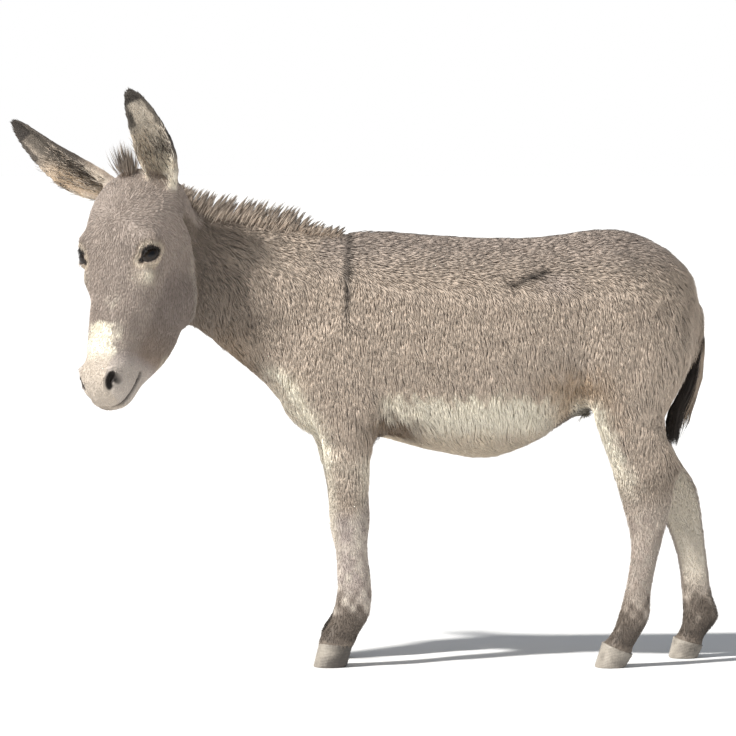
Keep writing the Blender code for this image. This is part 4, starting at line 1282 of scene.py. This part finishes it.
# ---- tail hair -------------------------------------------------------------------------------
# Long black-brown hair, rooted round the lower half of the dock.  It hangs under its own
# weight in a narrow bunch, and is browner and shorter on its rear side.
TAIL_LOCKS = 1500
tail_rng = np.random.default_rng(51)
tuft_rows, dock_rows = spine_of("tail_tuft", 2), spine_of("tail_dock", 2)
tuft_low, tuft_high = tuft_rows[0, 0], tuft_rows[-1, 0]
root_z = tail_rng.uniform(tuft_high - 0.020, tuft_high + 0.085, TAIL_LOCKS)
end_z = tuft_low + 0.004 + np.abs(tail_rng.normal(0, 0.040, TAIL_LOCKS))
end_z = np.where(tail_rng.random(TAIL_LOCKS) < 0.3, end_z + 0.05, end_z)
around = tail_rng.uniform(0, 2 * math.pi, TAIL_LOCKS)
ring = np.sqrt(tail_rng.random(TAIL_LOCKS))
rear = tail_rng.random(TAIL_LOCKS) < rise(np.cos(around) * ring, 0.05, 0.50) * 0.92
end_z = np.where(rear, end_z + tail_rng.uniform(0.03, 0.10, TAIL_LOCKS), end_z)
stations = []
for share_down in (0.0, 0.18, 0.36, 0.54, 0.72, 0.88, 1.0):
    at = root_z + (end_z - root_z) * share_down
    middle_x, deep, wide = (
        np.where(at < tuft_high, along_spine(tuft_rows, at, k), along_spine(dock_rows, at, k))
        for k in (0, 3, 4)
    )
    full = 0.92 if share_down else 0.75
    sway = 0.0018 * np.sin(at * 60 + around * 3) * share_down
    stations.append(np.stack([
        middle_x + np.cos(around) * ring * deep * full + sway,
        spine_y + np.sin(around) * ring * wide * full,
        at,
    ], 1))
paths = np.stack(stations, 1)
thick = tail_rng.uniform(0.0012, 0.0022, TAIL_LOCKS)
widths = thick[:, None] * np.array((0.9, 1.0, 1.0, 0.9, 0.65))
marks = no_marks(TAIL_LOCKS)
marks["dark"] = np.where(rear, tail_rng.uniform(0.05, 0.45, TAIL_LOCKS), 0.97)
marks["brown"] = np.where(rear, 0.5, 0.9)
marks["tan"] = np.where(rear, tail_rng.uniform(0.1, 0.4, TAIL_LOCKS), 0.2)
marks["tone"] = tail_rng.uniform(0.2, 0.8, TAIL_LOCKS)
mesh = hair_mesh("tail_hair", paths, widths, (0.3, 1.0, 0.0), 0.8, marks,
                 ordered_patches(TAIL_LOCKS, 40))
tail = new_object("tail_hair", mesh, coat_material("tail_hair", 0.5, 0.35, 0.15, 0.6)[0])
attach(tail, "root")
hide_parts("tail_tuft")


# ---- hooves -------------------------------------------------------------------------------------
# Narrow upright boxes of horn, ringed by their growth and worn pale.  Each one caps a foot
# below the coat and stands flat on its sole.
HORN_DARK, HORN_LIGHT = (0.085, 0.074, 0.064), (0.50, 0.45, 0.38)
HOOF_GRAIN = 0.0019
RING_HEIGHT, RING_SPACING = 0.0004, 0.0065
hoof_material, tree, shader = plain_material("hoof_horn", 0.55, 0.35)
where = add_node(tree, "ShaderNodeTexCoord").outputs["Object"]
streaks = {"Scale": (260.0, 260.0, 14.0), "Vector": where}
streaks = add_node(tree, "ShaderNodeMapping", streaks).outputs["Vector"]
grain = add_node(tree, "ShaderNodeTexNoise", {"Detail": 4.0, "Vector": streaks}).outputs["Fac"]
patches = add_node(tree, "ShaderNodeTexNoise", {"Scale": 45.0, "Vector": where}).outputs["Fac"]
both = {"Factor": 0.5, 2: grain, 3: patches}
both = add_node(tree, "ShaderNodeMix", both, data_type="FLOAT").outputs[0]
horn = ramp(tree, maths(tree, "ADD", both, stored(tree, "tone")), (0.10, HORN_DARK),
            (0.72, HORN_LIGHT))
tree.links.new(horn, shader.inputs["Base Color"])
bumped(tree, shader, grain, 0.3, 0.0006)

for node in HOOVES:
    mesh = remeshed(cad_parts[node].data.copy(), HOOF_GRAIN)
    spots = corners_of(mesh)
    edges = rows_of(mesh.edges, "vertices", 2, np.int32)
    sole = spots[:, 2].min()
    for _ in range(8):
        spots += (averaged(spots, edges) - spots) * 0.55
    set_corners(mesh, spots)
    out = normals_of(mesh)
    tilt = -0.30 if node.startswith("hind") else -0.10
    height = spots[:, 2] + tilt * (spots[:, 0] - spots[:, 0].mean())
    wall = rise(np.hypot(out[:, 0], out[:, 1]), 0.5, 0.9)
    rings = np.sin(height * 2 * math.pi / RING_SPACING + 1.2 * ripple(spots, 0.04, 61)) - 1
    spots += out * (RING_HEIGHT * rings * wall)[:, None]
    spots[:, 2] = np.maximum(spots[:, 2], sole)
    spots[:, 2] -= spots[:, 2].min() - sole
    set_corners(mesh, spots)
    # The forehooves are stained darker, most of all at the heel.
    stain = -0.46 * rise(spots[:, 0] - 0.6 * (spots[:, 2] - sole), spots[:, 0].min() - 0.01,
                         spots[:, 0].max() - 0.02)
    give_values(mesh, {"tone": stain - 0.08 if node.startswith("fore") else 0.25 * stain - 0.07})
    mesh.shade_smooth()
    hoof = new_object(node + "_horn", mesh, hoof_material)
    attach(hoof, "root")
    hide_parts(node)


# ---- floor, light and camera -----------------------------------------------------------------------
# A plain pale floor, wide enough to have no edge in view.  A soft key light shines from the
# left front, with a pale room all round.  The camera stands ten metres off, a little above
# the back.
bm = bmesh.new()
bmesh.ops.create_grid(bm, x_segments=1, y_segments=1, size=400.0)
mesh = bpy.data.meshes.new("floor")
bm.to_mesh(mesh)
bm.free()
floor_material, tree, shader = plain_material("floor", 0.9, 0.1)
shader.inputs["Base Color"].default_value = (0.86, 0.86, 0.855, 1)
floor = new_object("floor", mesh, floor_material)

ROOM_LOW, ROOM_HIGH = (1.0, 1.0, 1.0), (0.27, 0.29, 0.32)
world = bpy.data.worlds.new("room")
world.use_nodes = True
tree = world.node_tree
way = add_node(tree, "ShaderNodeTexCoord").outputs["Generated"]
height = add_node(tree, "ShaderNodeSeparateXYZ", {"Vector": way}).outputs["Z"]
room = ramp(tree, height, (0.10, ROOM_LOW), (0.34, ROOM_HIGH))
tree.links.new(room, tree.nodes["Background"].inputs["Color"])
bpy.context.scene.world = world

KEY_FROM = (-0.59, -0.40, 0.70)
key = bpy.data.lights.new("key", "SUN")
key.energy = 5.1
key.angle = math.radians(3.5)
key.color = (1.0, 0.975, 0.94)
key_light = bpy.data.objects.new("key", key)
bpy.context.scene.collection.objects.link(key_light)
key_light.rotation_euler = Vector(KEY_FROM).to_track_quat("Z", "Y").to_euler()

CAMERA_PLACE, CAMERA_DROP = (0.0002, -9.9395, 1.13), 2.636
camera = bpy.data.cameras.new("camera")
camera.lens = 215.7
camera.sensor_width = 36.0
camera.clip_end = 800.0
viewer = bpy.data.objects.new("camera", camera)
bpy.context.scene.collection.objects.link(viewer)
viewer.location = CAMERA_PLACE
viewer.rotation_euler = (math.radians(90 - CAMERA_DROP), 0.0, 0.0)
bpy.context.scene.camera = viewer
bpy.context.scene.view_settings.view_transform = "Standard"
